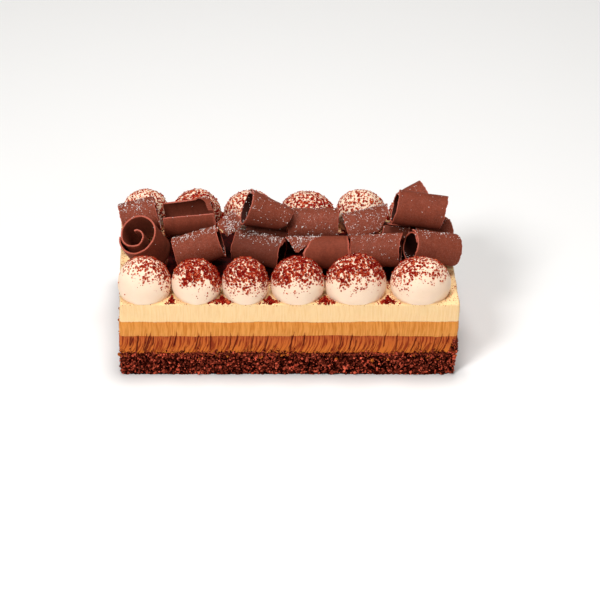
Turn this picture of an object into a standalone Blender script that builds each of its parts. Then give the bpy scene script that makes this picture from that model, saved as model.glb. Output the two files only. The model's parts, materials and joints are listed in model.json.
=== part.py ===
"""A chocolate mousse cake cut as a bar: a crumbly chocolate sponge under three mousses, with a row of piped
cream domes along each long side and a heap of rolled chocolate curls in the trough between them.

The frame is +Z up, +Y to the back, and the origin is the middle of the flat underside. Metres throughout.
"""

import math

import bmesh
import bpy
import numpy as np
from mathutils import Vector, noise
from mathutils.bvhtree import BVHTree

MM = 0.001

# The block of cake
LENGTH = 200 * MM
DEPTH = 98.5 * MM
SPONGE_HEIGHT = 17.0 * MM
DARK_HEIGHT = 12.0 * MM
MILK_HEIGHT = 10.5 * MM
WHITE_HEIGHT = 12.8 * MM
TOP = SPONGE_HEIGHT + DARK_HEIGHT + MILK_HEIGHT + WHITE_HEIGHT
CORNER_RADIUS = 1.6 * MM
CUT_SKEW = -0.045  # the ends are cut this far out of square: X per metre of Y
END_LEAN = 0.02  # and both lean this way: X per metre of height
LEFT_FLARE = 1.6 * MM  # and the left one spreads by this much more from its top to its foot
GAP = 0.3 * MM  # left between pieces that touch
SPONGE_STEPS = 60  # points along a long side of the sponge, which is crumbly
MOUSSE_STEPS = 36  # and of a mousse, which is smooth
CORNER_STEPS = 3

# How the cut sides wander in and out: depths, and the sizes of the lumps
CRAG_DEPTH = 1.1 * MM
CRAG_SIZES = (4.5 * MM, 11 * MM)
CRUMB_LOSS = 0.6 * MM  # the sponge's side stands this far back
WORN_EDGE = 1.4 * MM  # its upper edge is worn down by this
WORN_DEPTH = 0.7 * MM
WORN_SIZE = 6 * MM
SEAM_WANDER = 0.45 * MM
SEAM_SIZE = 30 * MM
SMEAR_DEPTH = 0.2 * MM  # the knife's marks in the mousses
SMEAR_SIZE = 9 * MM
SWELL = 0.15 * MM  # a mousse bulges this much between its seams
EDGE_ROUND = 1.2 * MM  # of the topmost edge
SEAM_INSET = 1.4 * MM  # a layer's flat top and bottom end this far inside its side

# The piped domes: how high the widest ring stands over the mousse, and the two rows
DOME_WAIST = 6.4 * MM
DOME_DEPTH_RADIUS = 13.4 * MM
DOME_SEGMENTS = 20
DOME_RINGS = 12
FRONT_ROW_Y = -36.9 * MM
BACK_ROW_Y = 35.9 * MM
# (middle X, half width, height) of each dome from left to right, in millimetres
FRONT_DOMES = [(-83.4, 15.7, 23.8), (-52.6, 14.5, 21.8), (-23.7, 13.9, 23.0),
               (6.8, 16.0, 23.6), (41.4, 17.9, 25.6), (79.8, 18.1, 23.2)]
BACK_DOMES = [(-86.2, 14.7, 23.0), (-55.2, 15.3, 22.6), (-22.2, 16.2, 22.0),
              (13.0, 16.9, 21.2), (46.2, 15.6, 22.6), (79.2, 16.0, 21.0)]

# The chocolate sheet that the curls are rolled from
SHEET = 1.1 * MM
CURL_STEPS = 22  # stretches along the rolled sheet
CURL_STATIONS = 2  # and across it
DROP_STEP = 0.5 * MM  # a curl is lifted clear or let down in such steps, and then in halves of it
DROP_FINE = 0.02 * MM

# Each curl is a sheet rolled round its own X axis, then tipped and turned, and let down onto what lies under
# it. at: the middle of its axis, the height over the mousse being where it is let down from. turn: how far it
# is turned away to the back, and tipped up at its right end. start: where round the axis the sheet starts, 0
# to the back and 90 up. turns: how far it is rolled, below 0 the other way. radius: of the roll, as corners
# of (share of the way along the sheet, radius). cone: how that grows along X. left, right: the sheet's two
# cut edges, as corners of (share of the way along the sheet, X). All in millimetres and degrees.
CURLS = [
    dict(name="curl_low_1", at=(-11.8, 14.5, 14), turn=(0, 0), start=60, turns=1.1,
         radius=[(0, 8.6), (1, 7.0)], left=[(0, -12)], right=[(0, 12.5)]),
    dict(name="curl_low_2", at=(16.7, 12.5, 14), turn=(0, 0), start=-30, turns=1.15,
         radius=[(0, 10.4), (1, 8.7)], left=[(0, -15.5)], right=[(0, 15.5), (1, 14)]),
    dict(name="curl_low_3", at=(86.2, 9.5, 10), turn=(20, 0), start=100, turns=1.1,
         radius=[(0, 9.2), (1, 7.6)], left=[(0, -9)], right=[(0, 13)]),
    dict(name="curl_low_4", at=(65.7, 7.5, 10), turn=(-4, -6), start=100, turns=0.94,
         radius=[(0, 8.0), (1, 7.4)], left=[(0, -8)], right=[(0, 8)]),
    dict(name="curl_front_1", at=(-51.8, -11, 14), turn=(6, 16), start=60, turns=1.1,
         radius=[(0, 9.9), (1, 8.3)], left=[(0, -14.3)], right=[(0, 13.5), (1, 14.5)]),
    dict(name="curl_front_2", at=(-16.2, -7.5, 11), turn=(-18, -2), start=50, turns=1.15,
         radius=[(0, 9.6), (1, 7.9)], left=[(0, -14.5)], right=[(0, 14.5), (1, 15)]),
    dict(name="curl_front_3", at=(24.0, -12.5, 12), turn=(6, -3), start=-76, turns=0.96,
         radius=[(0, 9.9), (1, 9.2)],
         left=[(0, 3), (0.34, 1), (0.52, -11), (0.64, -15), (1, -13)], right=[(0, 13)]),
    dict(name="curl_front_4", at=(55.2, -12.5, 13), turn=(-8, 9), start=80, turns=1.15,
         radius=[(0, 10.4), (1, 8.7)], left=[(0, -15)], right=[(0, 16), (0.4, 12), (1, 14)]),
    dict(name="curl_front_5", at=(87.5, -12, 14), turn=(18, -19), start=60, turns=1.2,
         radius=[(0, 9.6), (1, 7.9)], left=[(0, -15)], right=[(0, 15)]),
    dict(name="flake_front", at=(11.8, -6.5, 6), turn=(0, 0), start=74, turns=0.17,
         radius=[(0, 12.0), (1, 12.0)],
         left=[(0, -12.5), (0.5, -9), (1, -6)], right=[(0, 12.5), (0.5, 3), (1, -4)]),
    dict(name="curl_scroll", at=(-84.6, -11, 16), turn=(49, -58), start=-28, turns=-1.85,
         radius=[(0, 11.8), (0.4, 11.6), (0.54, 10.3), (0.68, 6.8), (0.81, 3.4), (1, 2.1)],
         left=[(0, -9.5), (0.13, -9), (0.41, -13), (0.69, -9.5), (0.97, -12.5)], right=[(0, 12)]),
    dict(name="curl_back_1", at=(-86.8, 14.5, 20), turn=(8, 11), start=20, turns=1.08,
         radius=[(0, 10.8), (1, 9.2)], left=[(0, -12.5)], right=[(0, 9.5)]),
    dict(name="curl_back_2", at=(-58.8, 14, 22), turn=(3, 4), start=144, turns=0.97,
         radius=[(0, 11.0), (1, 10.4)],
         left=[(0, -15), (0.69, -15), (0.71, 5), (0.79, 7), (0.91, 11), (1, 12.5)],
         right=[(0, 15.5), (0.6, 15.5), (0.72, 12.5), (0.8, 12.5), (1, 15.5)]),
    dict(name="flake_left", at=(-30.5, 14, 4), turn=(25, 30), start=95, turns=0.13,
         radius=[(0, 14.0), (1, 14.0)], left=[(0, -7)], right=[(0, 6)]),
    dict(name="curl_top_1", at=(-13, 4, 29), turn=(3, -22), start=40, turns=1.1,
         radius=[(0, 9.2), (1, 7.6)], cone=-0.16,
         left=[(0, -11.5)], right=[(0, 17.5), (0.3, 15), (0.6, 7), (1, 8)]),
    dict(name="curl_top_2", at=(50.7, 14, 11), turn=(8, 11), start=49, turns=0.306,
         radius=[(0, 12.0), (1, 12.0)],
         left=[(0, -14.5), (1, -14)], right=[(0, 14), (0.6, 13), (1, 5)]),
    dict(name="curl_top_3", at=(79.7, 5, 30), turn=(0, -9), start=30, turns=1.15,
         radius=[(0, 10.3), (1, 8.6)],
         left=[(0, -13), (0.5, -16), (1, -14)], right=[(0, 17), (0.5, 13), (1, 14)]),
    dict(name="flake_back", at=(79.3, 36, 15), turn=(20, 22), start=54, turns=0.3,
         radius=[(0, 11.0), (1, 11.0)], left=[(0, -6)], right=[(0, 9)]),
]

# Base colour and roughness
FINISHES = {
    "sponge": ((0.09, 0.016, 0.008), 0.95),
    "dark_mousse": ((0.46, 0.09, 0.02), 0.6),
    "milk_mousse": ((0.76, 0.31, 0.08), 0.6),
    "white_mousse": ((0.96, 0.68, 0.36), 0.55),
    "cream": ((0.96, 0.78, 0.58), 0.5),
    "chocolate": ((0.21, 0.06, 0.04), 0.42),
}


def clear_scene():
    for obj in list(bpy.data.objects):
        bpy.data.objects.remove(obj)


def finish(kind):
    """The Principled material of that name, made once."""
    found = bpy.data.materials.get(kind)
    if found:
        return found
    made = bpy.data.materials.new(kind)
    made.use_nodes = True
    shader = made.node_tree.nodes["Principled BSDF"]
    colour, roughness = FINISHES[kind]
    shader.inputs["Base Color"].default_value = (*colour, 1.0)
    shader.inputs["Roughness"].default_value = roughness
    shader.inputs["Metallic"].default_value = 0.0
    return made


def mesh_data(name, mesh, kind):
    """The finished bmesh as mesh data, shaded smooth but for its edges."""
    bmesh.ops.recalc_face_normals(mesh, faces=mesh.faces)
    data = bpy.data.meshes.new(name)
    mesh.to_mesh(data)
    mesh.free()
    data.shade_smooth()
    data.set_sharp_from_angle(angle=math.radians(40))
    data.materials.append(finish(kind))
    return data


def add_object(name, data, parent, location=(0, 0, 0), rotation=(0, 0, 0)):
    obj = bpy.data.objects.new(name, data)
    obj.location = location
    obj.rotation_euler = rotation
    obj.parent = parent
    bpy.context.scene.collection.objects.link(obj)
    return obj


# ---- the block ----


def outline(steps):
    """Points round the block as (x, y, outward x, outward y), anticlockwise from the front left corner."""
    half_x = LENGTH / 2 - CORNER_RADIUS
    half_y = DEPTH / 2 - CORNER_RADIUS
    corners = [(-half_x, -half_y), (half_x, -half_y), (half_x, half_y), (-half_x, half_y)]
    points = []
    for side, (corner_x, corner_y) in enumerate(corners):
        for step in range(CORNER_STEPS + 1):
            angle = math.radians(180 + 90 * side + 90 * step / CORNER_STEPS)
            out_x, out_y = math.cos(angle), math.sin(angle)
            points.append((corner_x + CORNER_RADIUS * out_x, corner_y + CORNER_RADIUS * out_y, out_x, out_y))
        start_x, start_y, out_x, out_y = points[-1]
        end_x = corners[(side + 1) % 4][0] + CORNER_RADIUS * out_x
        end_y = corners[(side + 1) % 4][1] + CORNER_RADIUS * out_y
        along = steps if side % 2 == 0 else steps // 2
        for step in range(1, along):
            share = step / along
            x = start_x + (end_x - start_x) * share
            y = start_y + (end_y - start_y) * share
            points.append((x, y, out_x, out_y))
    return [(x + CUT_SKEW * y, y, out_x, out_y) for x, y, out_x, out_y in points]


def rough(x, y, z, size, seed):
    """Smooth noise from about -1 to 1, with lumps of the given size."""
    return 1.6 * noise.noise(Vector((x / size, y / size, z / size + 17.3 * seed)))


def level(z):
    return lambda x, y: z


def seam(z, index):
    """The height of the seam between two layers, which wanders a little up and down at the cut face."""
    return lambda x, y: z + SEAM_WANDER * rough(x, y, 0.0, SEAM_SIZE, index)


def straight(offset):
    return lambda x, y, z: offset


def lean(x, z):
    """How far a point of the block is shifted along X: both ends lean, and the left one spreads towards its foot."""
    near_left = min(1.0, max(0.0, (-x - 60 * MM) / (40 * MM)))
    return END_LEAN * (z - TOP / 2) - LEFT_FLARE * (1.25 - z / TOP) * near_left


def slab(name, steps, rows, parent):
    """A closed layer of bridged rings, lowest first: (height at (x, y), outward offset at (x, y, z)) each."""
    mesh = bmesh.new()
    loops = []
    for height, offset in rows:
        ring = []
        for x, y, out_x, out_y in outline(steps):
            z = height(x, y)
            out = offset(x, y, z)
            ring.append(mesh.verts.new((x + out_x * out + lean(x, z), y + out_y * out, z)))
        loops.append([mesh.edges.new(pair) for pair in zip(ring, ring[1:] + ring[:1])])
    for low, high in zip(loops, loops[1:]):
        bmesh.ops.bridge_loops(mesh, edges=low + high)
    for loop in (loops[0], loops[-1]):
        bmesh.ops.contextual_create(mesh, geom=loop)
    return add_object(name, mesh_data(name, mesh, name), parent)


def build_sponge(parent):
    """The sponge has a crumbly cut side, with crags that bite into it and its upper edge worn down."""

    def crags(share):
        def offset(x, y, z):
            lumps = rough(x, y, z, CRAG_SIZES[0], 1) + 0.6 * rough(x, y, z, CRAG_SIZES[1], 5)
            return share * CRAG_DEPTH * lumps - CRUMB_LOSS

        return offset

    def worn_top(x, y):
        return SPONGE_HEIGHT - WORN_EDGE - WORN_DEPTH * rough(x, y, 0.0, WORN_SIZE, 2)

    rows = [(level(height * SPONGE_HEIGHT), crags(share))
            for height, share in ((0.0, 0.55), (0.2, 0.9), (0.4, 1.0), (0.6, 1.0), (0.78, 0.8))]
    rows += [(worn_top, crags(0.55)), (level(SPONGE_HEIGHT - GAP), straight(-SEAM_INSET))]
    slab("sponge", SPONGE_STEPS, rows, parent)


def build_mousse(name, base, height, seams, parent):
    """A mousse layer with a knife-smooth side that swells between its seams. The topmost edge is rounded."""

    def face(swell):
        return lambda x, y, z: swell + SMEAR_DEPTH * rough(x, y, z, SMEAR_SIZE, 3 + seams[0])

    top = base + height
    rows = [
        (level(base), straight(-SEAM_INSET)),
        (seam(base, seams[0]) if seams[0] else level(base), face(-SWELL)),
        (level(base + height / 2), face(SWELL)),
    ]
    if seams[1]:
        rows += [(seam(top - GAP, seams[1]), face(0.0)), (level(top - GAP), straight(-SEAM_INSET))]
    else:
        rows += [(level(top - EDGE_ROUND), face(0.0)),
                 (level(top - 0.3 * EDGE_ROUND), straight(-0.3 * EDGE_ROUND)),
                 (level(top), straight(-EDGE_ROUND))]
    slab(name, MOUSSE_STEPS, rows, parent)


def build_block(parent):
    build_sponge(parent)
    base = SPONGE_HEIGHT
    layers = [("dark_mousse", DARK_HEIGHT, (0, 2)), ("milk_mousse", MILK_HEIGHT, (2, 3)),
              ("white_mousse", WHITE_HEIGHT, (3, 0))]
    for name, height, seams in layers:
        build_mousse(name, base, height, seams, parent)
        base += height


# ---- the piped domes ----


def dome_data(name, half_width, height, seed, lean):
    """A bulb of cream, its foot at Z = 0: a sphere pulled out of round, leaning, and cut below its waist."""
    mesh = bmesh.new()
    bmesh.ops.create_uvsphere(mesh, u_segments=DOME_SEGMENTS, v_segments=DOME_RINGS, radius=1.0)
    for vertex in mesh.verts:
        x, y, z = vertex.co
        turn = math.atan2(y, x)
        lump = 1 + 0.012 * math.sin(2 * turn + 7 * seed) + 0.008 * math.sin(3 * turn + 3 * seed)
        z = DOME_WAIST + (height - DOME_WAIST) * z
        vertex.co = (half_width * lump * x + lean * z, DOME_DEPTH_RADIUS * lump * y, z)
    bmesh.ops.bisect_plane(mesh, geom=mesh.verts[:] + mesh.edges[:] + mesh.faces[:], plane_co=(0, 0, 0),
                           plane_no=(0, 0, -1), clear_outer=True)
    bmesh.ops.contextual_create(mesh, geom=[edge for edge in mesh.edges if edge.is_boundary])
    return mesh_data(name, mesh, "cream")


def build_domes(parent):
    made = []
    for row, y, domes in (("front", FRONT_ROW_Y, FRONT_DOMES), ("back", BACK_ROW_Y, BACK_DOMES)):
        for number, (x, half_width, height) in enumerate(domes, 1):
            name = f"dome_{row}_{number}"
            lean = 0.03 * math.sin(5.0 * number + y / MM)
            data = dome_data(name, half_width * MM, height * MM, x, lean)
            made.append(add_object(name, data, parent, location=(x * MM, y, TOP + GAP)))
    return made


# ---- the chocolate curls ----


def sheet_data(curl, grow=0.0):
    """The curl's sheet with no thickness: a flat grid rolled round the X axis, its edges let out by grow."""
    mesh = bmesh.new()
    bmesh.ops.create_grid(mesh, x_segments=CURL_STATIONS, y_segments=CURL_STEPS, size=1.0)
    for vertex in mesh.verts:
        across, along = (vertex.co.x + 1) / 2, (vertex.co.y + 1) / 2
        left = np.interp(along, *zip(*curl["left"])) * MM - grow
        right = np.interp(along, *zip(*curl["right"])) * MM + grow
        x = left + (right - left) * across
        radius = np.interp(along, *zip(*curl["radius"])) * MM + curl.get("cone", 0.0) * x
        angle = math.radians(curl["start"] + 360 * curl["turns"] * along)
        if min(along, 1 - along) < 0.01:
            angle += math.copysign(grow / radius, curl["turns"]) * (1 if along > 0.5 else -1)
        vertex.co = (x, radius * math.cos(angle), radius * math.sin(angle))
    return mesh_data(curl["name"], mesh, "chocolate")


def skin(obj):
    """Points and faces of the object as its modifiers leave it, in world space."""
    evaluated = obj.evaluated_get(bpy.context.evaluated_depsgraph_get())
    data = evaluated.to_mesh()
    points = [evaluated.matrix_world @ vertex.co for vertex in data.vertices]
    faces = [tuple(face.vertices) for face in data.polygons]
    evaluated.to_mesh_clear()
    return points, faces


def settle(obj, landed):
    """Move the object straight up until it clears all that has landed, then down until it touches."""
    points, faces = skin(obj)
    lowest = min(point.z for point in points)

    def clear(lift):
        if lowest + lift < TOP + GAP:
            return False
        tree = BVHTree.FromPolygons([point + Vector((0, 0, lift)) for point in points], faces)
        return not any(tree.overlap(other) for other in landed)

    lift = 0.0
    while not clear(lift):
        lift += DROP_STEP
    while clear(lift - DROP_STEP):
        lift -= DROP_STEP
    step = DROP_STEP / 2
    while step > DROP_FINE:
        if clear(lift - step):
            lift -= step
        step /= 2
    obj.location.z += lift


def build_curl(curl, landed, parent):
    """A curl is fitted a little too thick and wide, to leave a gap round it, and then made its true size."""
    x, y, z = curl["at"]
    yaw, pitch = curl["turn"]
    obj = add_object(curl["name"], sheet_data(curl, GAP), parent, location=(x * MM, y * MM, TOP + z * MM),
                     rotation=(0, -math.radians(pitch), math.radians(yaw)))
    solidify = obj.modifiers.new("thickness", "SOLIDIFY")
    solidify.offset = 0.0
    solidify.thickness = SHEET + 2 * GAP
    settle(obj, landed)
    grown = obj.data
    obj.data = sheet_data(curl)
    obj.data.name = obj.name
    bpy.data.meshes.remove(grown)
    solidify.thickness = SHEET
    landed.append(BVHTree.FromPolygons(*skin(obj)))


def main():
    clear_scene()
    cake = add_object("cake", None, None)
    build_block(cake)
    landed = [BVHTree.FromPolygons(*skin(dome)) for dome in build_domes(cake)]
    for curl in CURLS:
        build_curl(curl, landed, cake)


main()
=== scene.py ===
"""The looks of a chocolate mousse cake: its crumbly sponge, its three cut mousses, its cream domes dusted
with cocoa, its rolled chocolate curls, and the crumbs, cocoa and sugar on them, in a plain light studio.

The frame is +Z up, +Y to the back, and the origin is the middle of the flat underside. All is in metres but
the tables of domes and curls, which are in millimetres and degrees. On every cut side, x + y tells how far
along it a point lies.
"""

import json
import math
from dataclasses import dataclass

import bmesh
import bpy
import numpy as np
from bpy.props import FloatProperty, FloatVectorProperty, IntProperty, PointerProperty
from mathutils import Euler, Matrix, Vector, noise

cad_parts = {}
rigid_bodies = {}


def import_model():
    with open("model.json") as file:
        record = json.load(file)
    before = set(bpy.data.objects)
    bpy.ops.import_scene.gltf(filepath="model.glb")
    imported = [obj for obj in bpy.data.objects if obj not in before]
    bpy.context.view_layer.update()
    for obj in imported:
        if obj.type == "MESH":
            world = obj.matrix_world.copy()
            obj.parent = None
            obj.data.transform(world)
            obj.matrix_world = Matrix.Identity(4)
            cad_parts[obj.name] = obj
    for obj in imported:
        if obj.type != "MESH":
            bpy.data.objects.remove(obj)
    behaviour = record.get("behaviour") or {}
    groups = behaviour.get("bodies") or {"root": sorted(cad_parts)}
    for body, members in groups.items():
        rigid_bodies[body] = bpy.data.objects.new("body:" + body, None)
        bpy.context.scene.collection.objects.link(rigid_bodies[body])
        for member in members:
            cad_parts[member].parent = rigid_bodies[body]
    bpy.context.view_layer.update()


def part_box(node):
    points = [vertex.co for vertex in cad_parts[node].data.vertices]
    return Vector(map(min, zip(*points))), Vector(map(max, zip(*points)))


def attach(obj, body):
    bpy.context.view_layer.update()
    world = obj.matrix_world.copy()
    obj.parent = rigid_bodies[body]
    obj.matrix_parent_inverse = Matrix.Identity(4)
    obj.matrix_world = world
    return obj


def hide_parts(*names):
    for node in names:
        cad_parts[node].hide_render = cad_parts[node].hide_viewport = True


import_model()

bl_info = {
    "name": "Chocolate Mousse Cake",
    "version": (1, 0, 0),
    "blender": (4, 5, 0),
    "location": "3D View > Sidebar > Cake",
    "description": "Gives the solids of a layered mousse cake their fine surfaces, cocoa, sugar and crumbs",
    "category": "Object",
}

MM = 0.001

# The block: its outline is the solids' own, and its height is read from them
LENGTH = 200 * MM
DEPTH = 98.5 * MM
CORNER_RADIUS = 1.6 * MM
CORNER_STEPS = 6
SIDE_STEP = 0.42 * MM  # between the points of a cut side
SEAM_INSET = 1.4 * MM  # how far a layer is drawn in where its neighbour hides it
CUT_SKEW = -0.045  # the ends are cut this far out of square: X per metre of Y
END_LEAN = 0.02  # and both lean this way: X per metre of height
LEFT_FLARE = 1.6 * MM  # and the left one spreads by this much more from its top to its foot
FLARE_AT_TOP = 0.25  # with this share of it at the top already
FLARE_FROM = 60 * MM  # it starts this far left of the middle
FLARE_RUN = 40 * MM  # and is full this much further on
SPONGE_TOP = 17.0 * MM
DARK_TOP = 29.0 * MM
MILK_TOP = 39.5 * MM
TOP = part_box("white_mousse")[1].z

SHARP_EDGE = math.radians(60)  # edges that turn by more than this are shaded sharp
SEED_STEP = 17.3  # how far apart the noise of two seeds is read


def noise_spot(x, y, z, size, seed):
    """Where to read noise whose lumps have the given size. Each use has a seed of its own."""
    return Vector((x / size, y / size, z / size + SEED_STEP * seed))


def rough(x, y, z, size, seed):
    """Smooth noise from about -1 to 1."""
    return 1.6 * noise.noise(noise_spot(x, y, z, size, seed))


def crumbly(x, y, z, size, seed):
    """Rounded lumps with creases between them, from about -1 to 1."""
    return 1.0 - 2.2 * noise.voronoi(noise_spot(x, y, z, size, seed))[0][0]


def layered(x, y, z, layers, kind=rough):
    """Noise of several sizes added up. layers: the share, size and seed of each."""
    return sum(share * kind(x, y, z, size, seed) for share, size, seed in layers)


def ease(value, low, high):
    """0 below low, 1 above high, and smooth between them. Takes arrays too."""
    share = np.clip((value - low) / (high - low), 0.0, 1.0)
    return share * share * (3 - 2 * share)


# ---- what a user can change ----


def length(name, description, default):
    return FloatProperty(
        name=name, description=description, default=default, min=0.0, unit="LENGTH", precision=5)


def number(name, description, default):
    return IntProperty(name=name, description=description, default=default, min=0)


def colour(name, description, default):
    return FloatVectorProperty(
        name=name, description=description, default=default, min=0.0, max=1.0, size=3, subtype="COLOR")


class CakeSizes(bpy.types.PropertyGroup):
    """Sizes and amounts of the fine detail."""

    crumb: length("Crumb", "Size across of a middling crumb stuck to the sponge", 1.1 * MM)
    crumbs: number("Crumbs", "How many crumbs are stuck to the sponge", 17000)
    crag: length("Crags", "How far the crumbly side of the sponge goes in and out", 1.4 * MM)
    crack: length("Cracks", "How deep the knife has torn the brown mousse", 0.75 * MM)
    streak: length("Knife streaks", "How deep the fine upright streaks of the knife are", 0.07 * MM)
    cocoa: length("Cocoa clump", "Size across of a middling clump of cocoa powder", 0.75 * MM)
    cocoa_clumps: number("Cocoa clumps", "How many clumps of cocoa lie on the domes", 11000)
    sugar: length("Sugar grain", "Size across of a middling grain of sugar", 0.34 * MM)
    sugar_grains: number("Sugar grains", "How many grains of sugar lie on the curls", 4200)
    sheet: length("Chocolate sheet", "Thickness of the sheet that the curls are rolled from", 1.05 * MM)


class CakeColours(bpy.types.PropertyGroup):
    """Colours of the cake's own pieces."""

    sponge: colour("Sponge", "The sponge's lit crumbs", (1.000, 0.125, 0.060))
    # painted shade: the near black of the pits between the sponge's crumbs
    sponge_pit: colour("Sponge pits", "The sponge between its crumbs", (0.006, 0.0008, 0.0006))
    dark_mousse: colour("Brown mousse", "The lowest mousse", (0.450, 0.082, 0.012))
    milk_mousse: colour("Caramel mousse", "The middle mousse", (0.700, 0.270, 0.050))
    white_mousse: colour("Ivory mousse", "The topmost mousse", (0.930, 0.640, 0.330))
    cream: colour("Cream", "The piped domes", (0.950, 0.725, 0.545))
    cocoa: colour("Cocoa", "The powder dusted over the domes", (0.300, 0.013, 0.007))
    thin_cocoa: colour("Thin cocoa", "Cocoa so thin that the cream shines through", (0.660, 0.135, 0.050))
    deep_cocoa: colour("Deep cocoa", "Cocoa where it lies thickest", (0.150, 0.004, 0.003))
    chocolate: colour("Chocolate", "The curls", (0.190, 0.040, 0.021))
    # the cut edge is redder than the faces, and its lightness is a painted highlight
    cut_edge: colour("Cut edge", "The thin cut edges of the curls", (0.430, 0.088, 0.050))
    bloom: colour("Bloom", "The fine pale bloom on the curls", (0.360, 0.150, 0.110))
    sugar_dust: colour("Sugar dust", "The finest sugar on the curls", (0.500, 0.300, 0.250))
    sugar: colour("Sugar", "The grains on the curls", (0.840, 0.740, 0.700))
    floor: colour("Floor", "The studio's floor", (0.900, 0.895, 0.885))


def sizes():
    return bpy.context.scene.cake_sizes


def colours():
    return bpy.context.scene.cake_colours


# ---- shader nodes ----


def feed(tree, inputs, values):
    """Sets each of these inputs, by name or number, to a value, or links it from another node's socket."""
    for name, value in values.items():
        if isinstance(value, bpy.types.NodeSocket):
            tree.links.new(value, inputs[name])
        else:
            inputs[name].default_value = value


def add(tree, kind, inputs=None, **settings):
    """A new shader node with these settings and inputs."""
    made = tree.nodes.new(kind)
    for name, value in settings.items():
        setattr(made, name, value)
    feed(tree, made.inputs, inputs or {})
    return made


def calc(tree, operation, first, second=0.0, third=0.0):
    """A Math node's result."""
    return add(tree, "ShaderNodeMath", {0: first, 1: second, 2: third}, operation=operation).outputs[0]


def scaled(tree, vector, scale):
    return add(tree, "ShaderNodeVectorMath", {0: vector, "Scale": scale}, operation="SCALE").outputs[0]


def clamped(tree, value):
    """The value kept within 0 and 1."""
    return add(tree, "ShaderNodeClamp", {"Value": value}).outputs[0]


def remap(tree, value, low, high, new_low=0.0, new_high=1.0):
    """The value carried over from one range to the other, and kept within it."""
    return add(tree, "ShaderNodeMapRange", {
        "Value": value, "From Min": low, "From Max": high,
        "To Min": new_low, "To Max": new_high}).outputs["Result"]


def blend(tree, amount, first, second, mode="MIX"):
    """Two colours mixed, or multiplied where the mode says so."""
    return add(tree, "ShaderNodeMix", {0: amount, 6: first, 7: second},
               data_type="RGBA", blend_type=mode).outputs[2]


def stored(tree, name):
    """A value stored at the mesh's points."""
    return add(tree, "ShaderNodeAttribute", attribute_type="GEOMETRY", attribute_name=name).outputs["Fac"]


def place_on_cake(tree):
    """Where a point of the surface is, in metres."""
    return add(tree, "ShaderNodeTexCoord").outputs["Object"]


def noise_texture(tree, place, scale, detail, roughness=0.5):
    return add(tree, "ShaderNodeTexNoise", {
        "Vector": place, "Scale": scale, "Detail": detail, "Roughness": roughness}).outputs


def bumped(tree, height, distance):
    """The normal of a surface whose height goes up to this distance."""
    return add(tree, "ShaderNodeBump", {"Distance": distance, "Height": height}).outputs["Normal"]


def tinted(rgb, shares):
    """A colour with each of its parts scaled by its own share."""
    return (*[min(1.0, value * share) for value, share in zip(rgb, shares)], 1.0)


def solid(rgb, scale=1.0):
    """A colour with all of its parts scaled alike."""
    return tinted(rgb, (scale, scale, scale))


def powder_flecks(tree, given):
    """Flecks of powder: Cover is the share of the surface that they hide. Mask is 1 on a fleck, Halo fades
    out round it, and Own is a random value of each fleck's, which is larger for larger ones."""
    place = scaled(tree, place_on_cake(tree), calc(tree, "DIVIDE", 1.0, given["Fleck Size"]))
    swirl = noise_texture(tree, place, scale=1.7, detail=2.0)["Color"]
    pushed = scaled(tree, swirl, given["Raggedness"])
    spot = add(tree, "ShaderNodeVectorMath", {0: place, 1: pushed}, operation="ADD").outputs[0]
    cells = add(tree, "ShaderNodeTexVoronoi", {"Vector": spot, "Scale": 1.0}).outputs
    own = add(tree, "ShaderNodeSeparateColor", {"Color": cells["Color"]}).outputs[0]
    # of space filled with random points, 1 - exp(-4/3 pi radius^3) lies within the radius of one
    bare = calc(tree, "SUBTRACT", 1.0, calc(tree, "MINIMUM", given["Cover"], 0.995))
    cubed = calc(tree, "MULTIPLY", calc(tree, "LOGARITHM", bare, math.e), -0.75 / math.pi)
    size = calc(tree, "MULTIPLY_ADD", own, 0.6, 0.7)
    radius = calc(tree, "MULTIPLY", calc(tree, "POWER", cubed, 1 / 3), size)
    inside = calc(tree, "SUBTRACT", radius, cells["Distance"])
    return {
        "Mask": clamped(tree, calc(tree, "DIVIDE", inside, given["Softness"])),
        "Halo": remap(tree, inside, -0.12, 0.0),
        "Own": own,
    }


def cocoa_powder(tree, given):
    """Cocoa powder's colour: orange where it is thin, red where it is thicker, brown where it lies deep."""
    scale = calc(tree, "DIVIDE", 1.0, given["Grain Size"])
    field = noise_texture(tree, place_on_cake(tree), scale, detail=2.0)["Fac"]
    uneven = calc(tree, "MULTIPLY", calc(tree, "SUBTRACT", field, 0.5), given["Unevenness"])
    depth = calc(tree, "ADD", given["Thickness"], uneven)
    red = blend(tree, remap(tree, depth, 0.15, 0.70), given["Thin"], given["Middling"])
    return {"Color": blend(tree, remap(tree, depth, 0.62, 1.05), red, given["Deep"])}


def mottle(tree, given):
    """A colour that drifts between two others in patches of two sizes, and the drift itself."""
    place = place_on_cake(tree)
    fields = []
    for size in ("Patch Size", "Grain Size"):
        scale = calc(tree, "DIVIDE", 1.0, given[size])
        fields.append(noise_texture(tree, place, scale, detail=3.0, roughness=0.55)["Fac"])
    mixed = add(tree, "ShaderNodeMix", {0: given["Grain Share"], 2: fields[0], 3: fields[1]},
                data_type="FLOAT").outputs[0]
    spread = calc(tree, "MULTIPLY_ADD", calc(tree, "SUBTRACT", mixed, 0.5), given["Contrast"], 0.5)
    drift = clamped(tree, spread)
    return {"Color": blend(tree, drift, given["Colour A"], given["Colour B"]), "Fac": drift}


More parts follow.
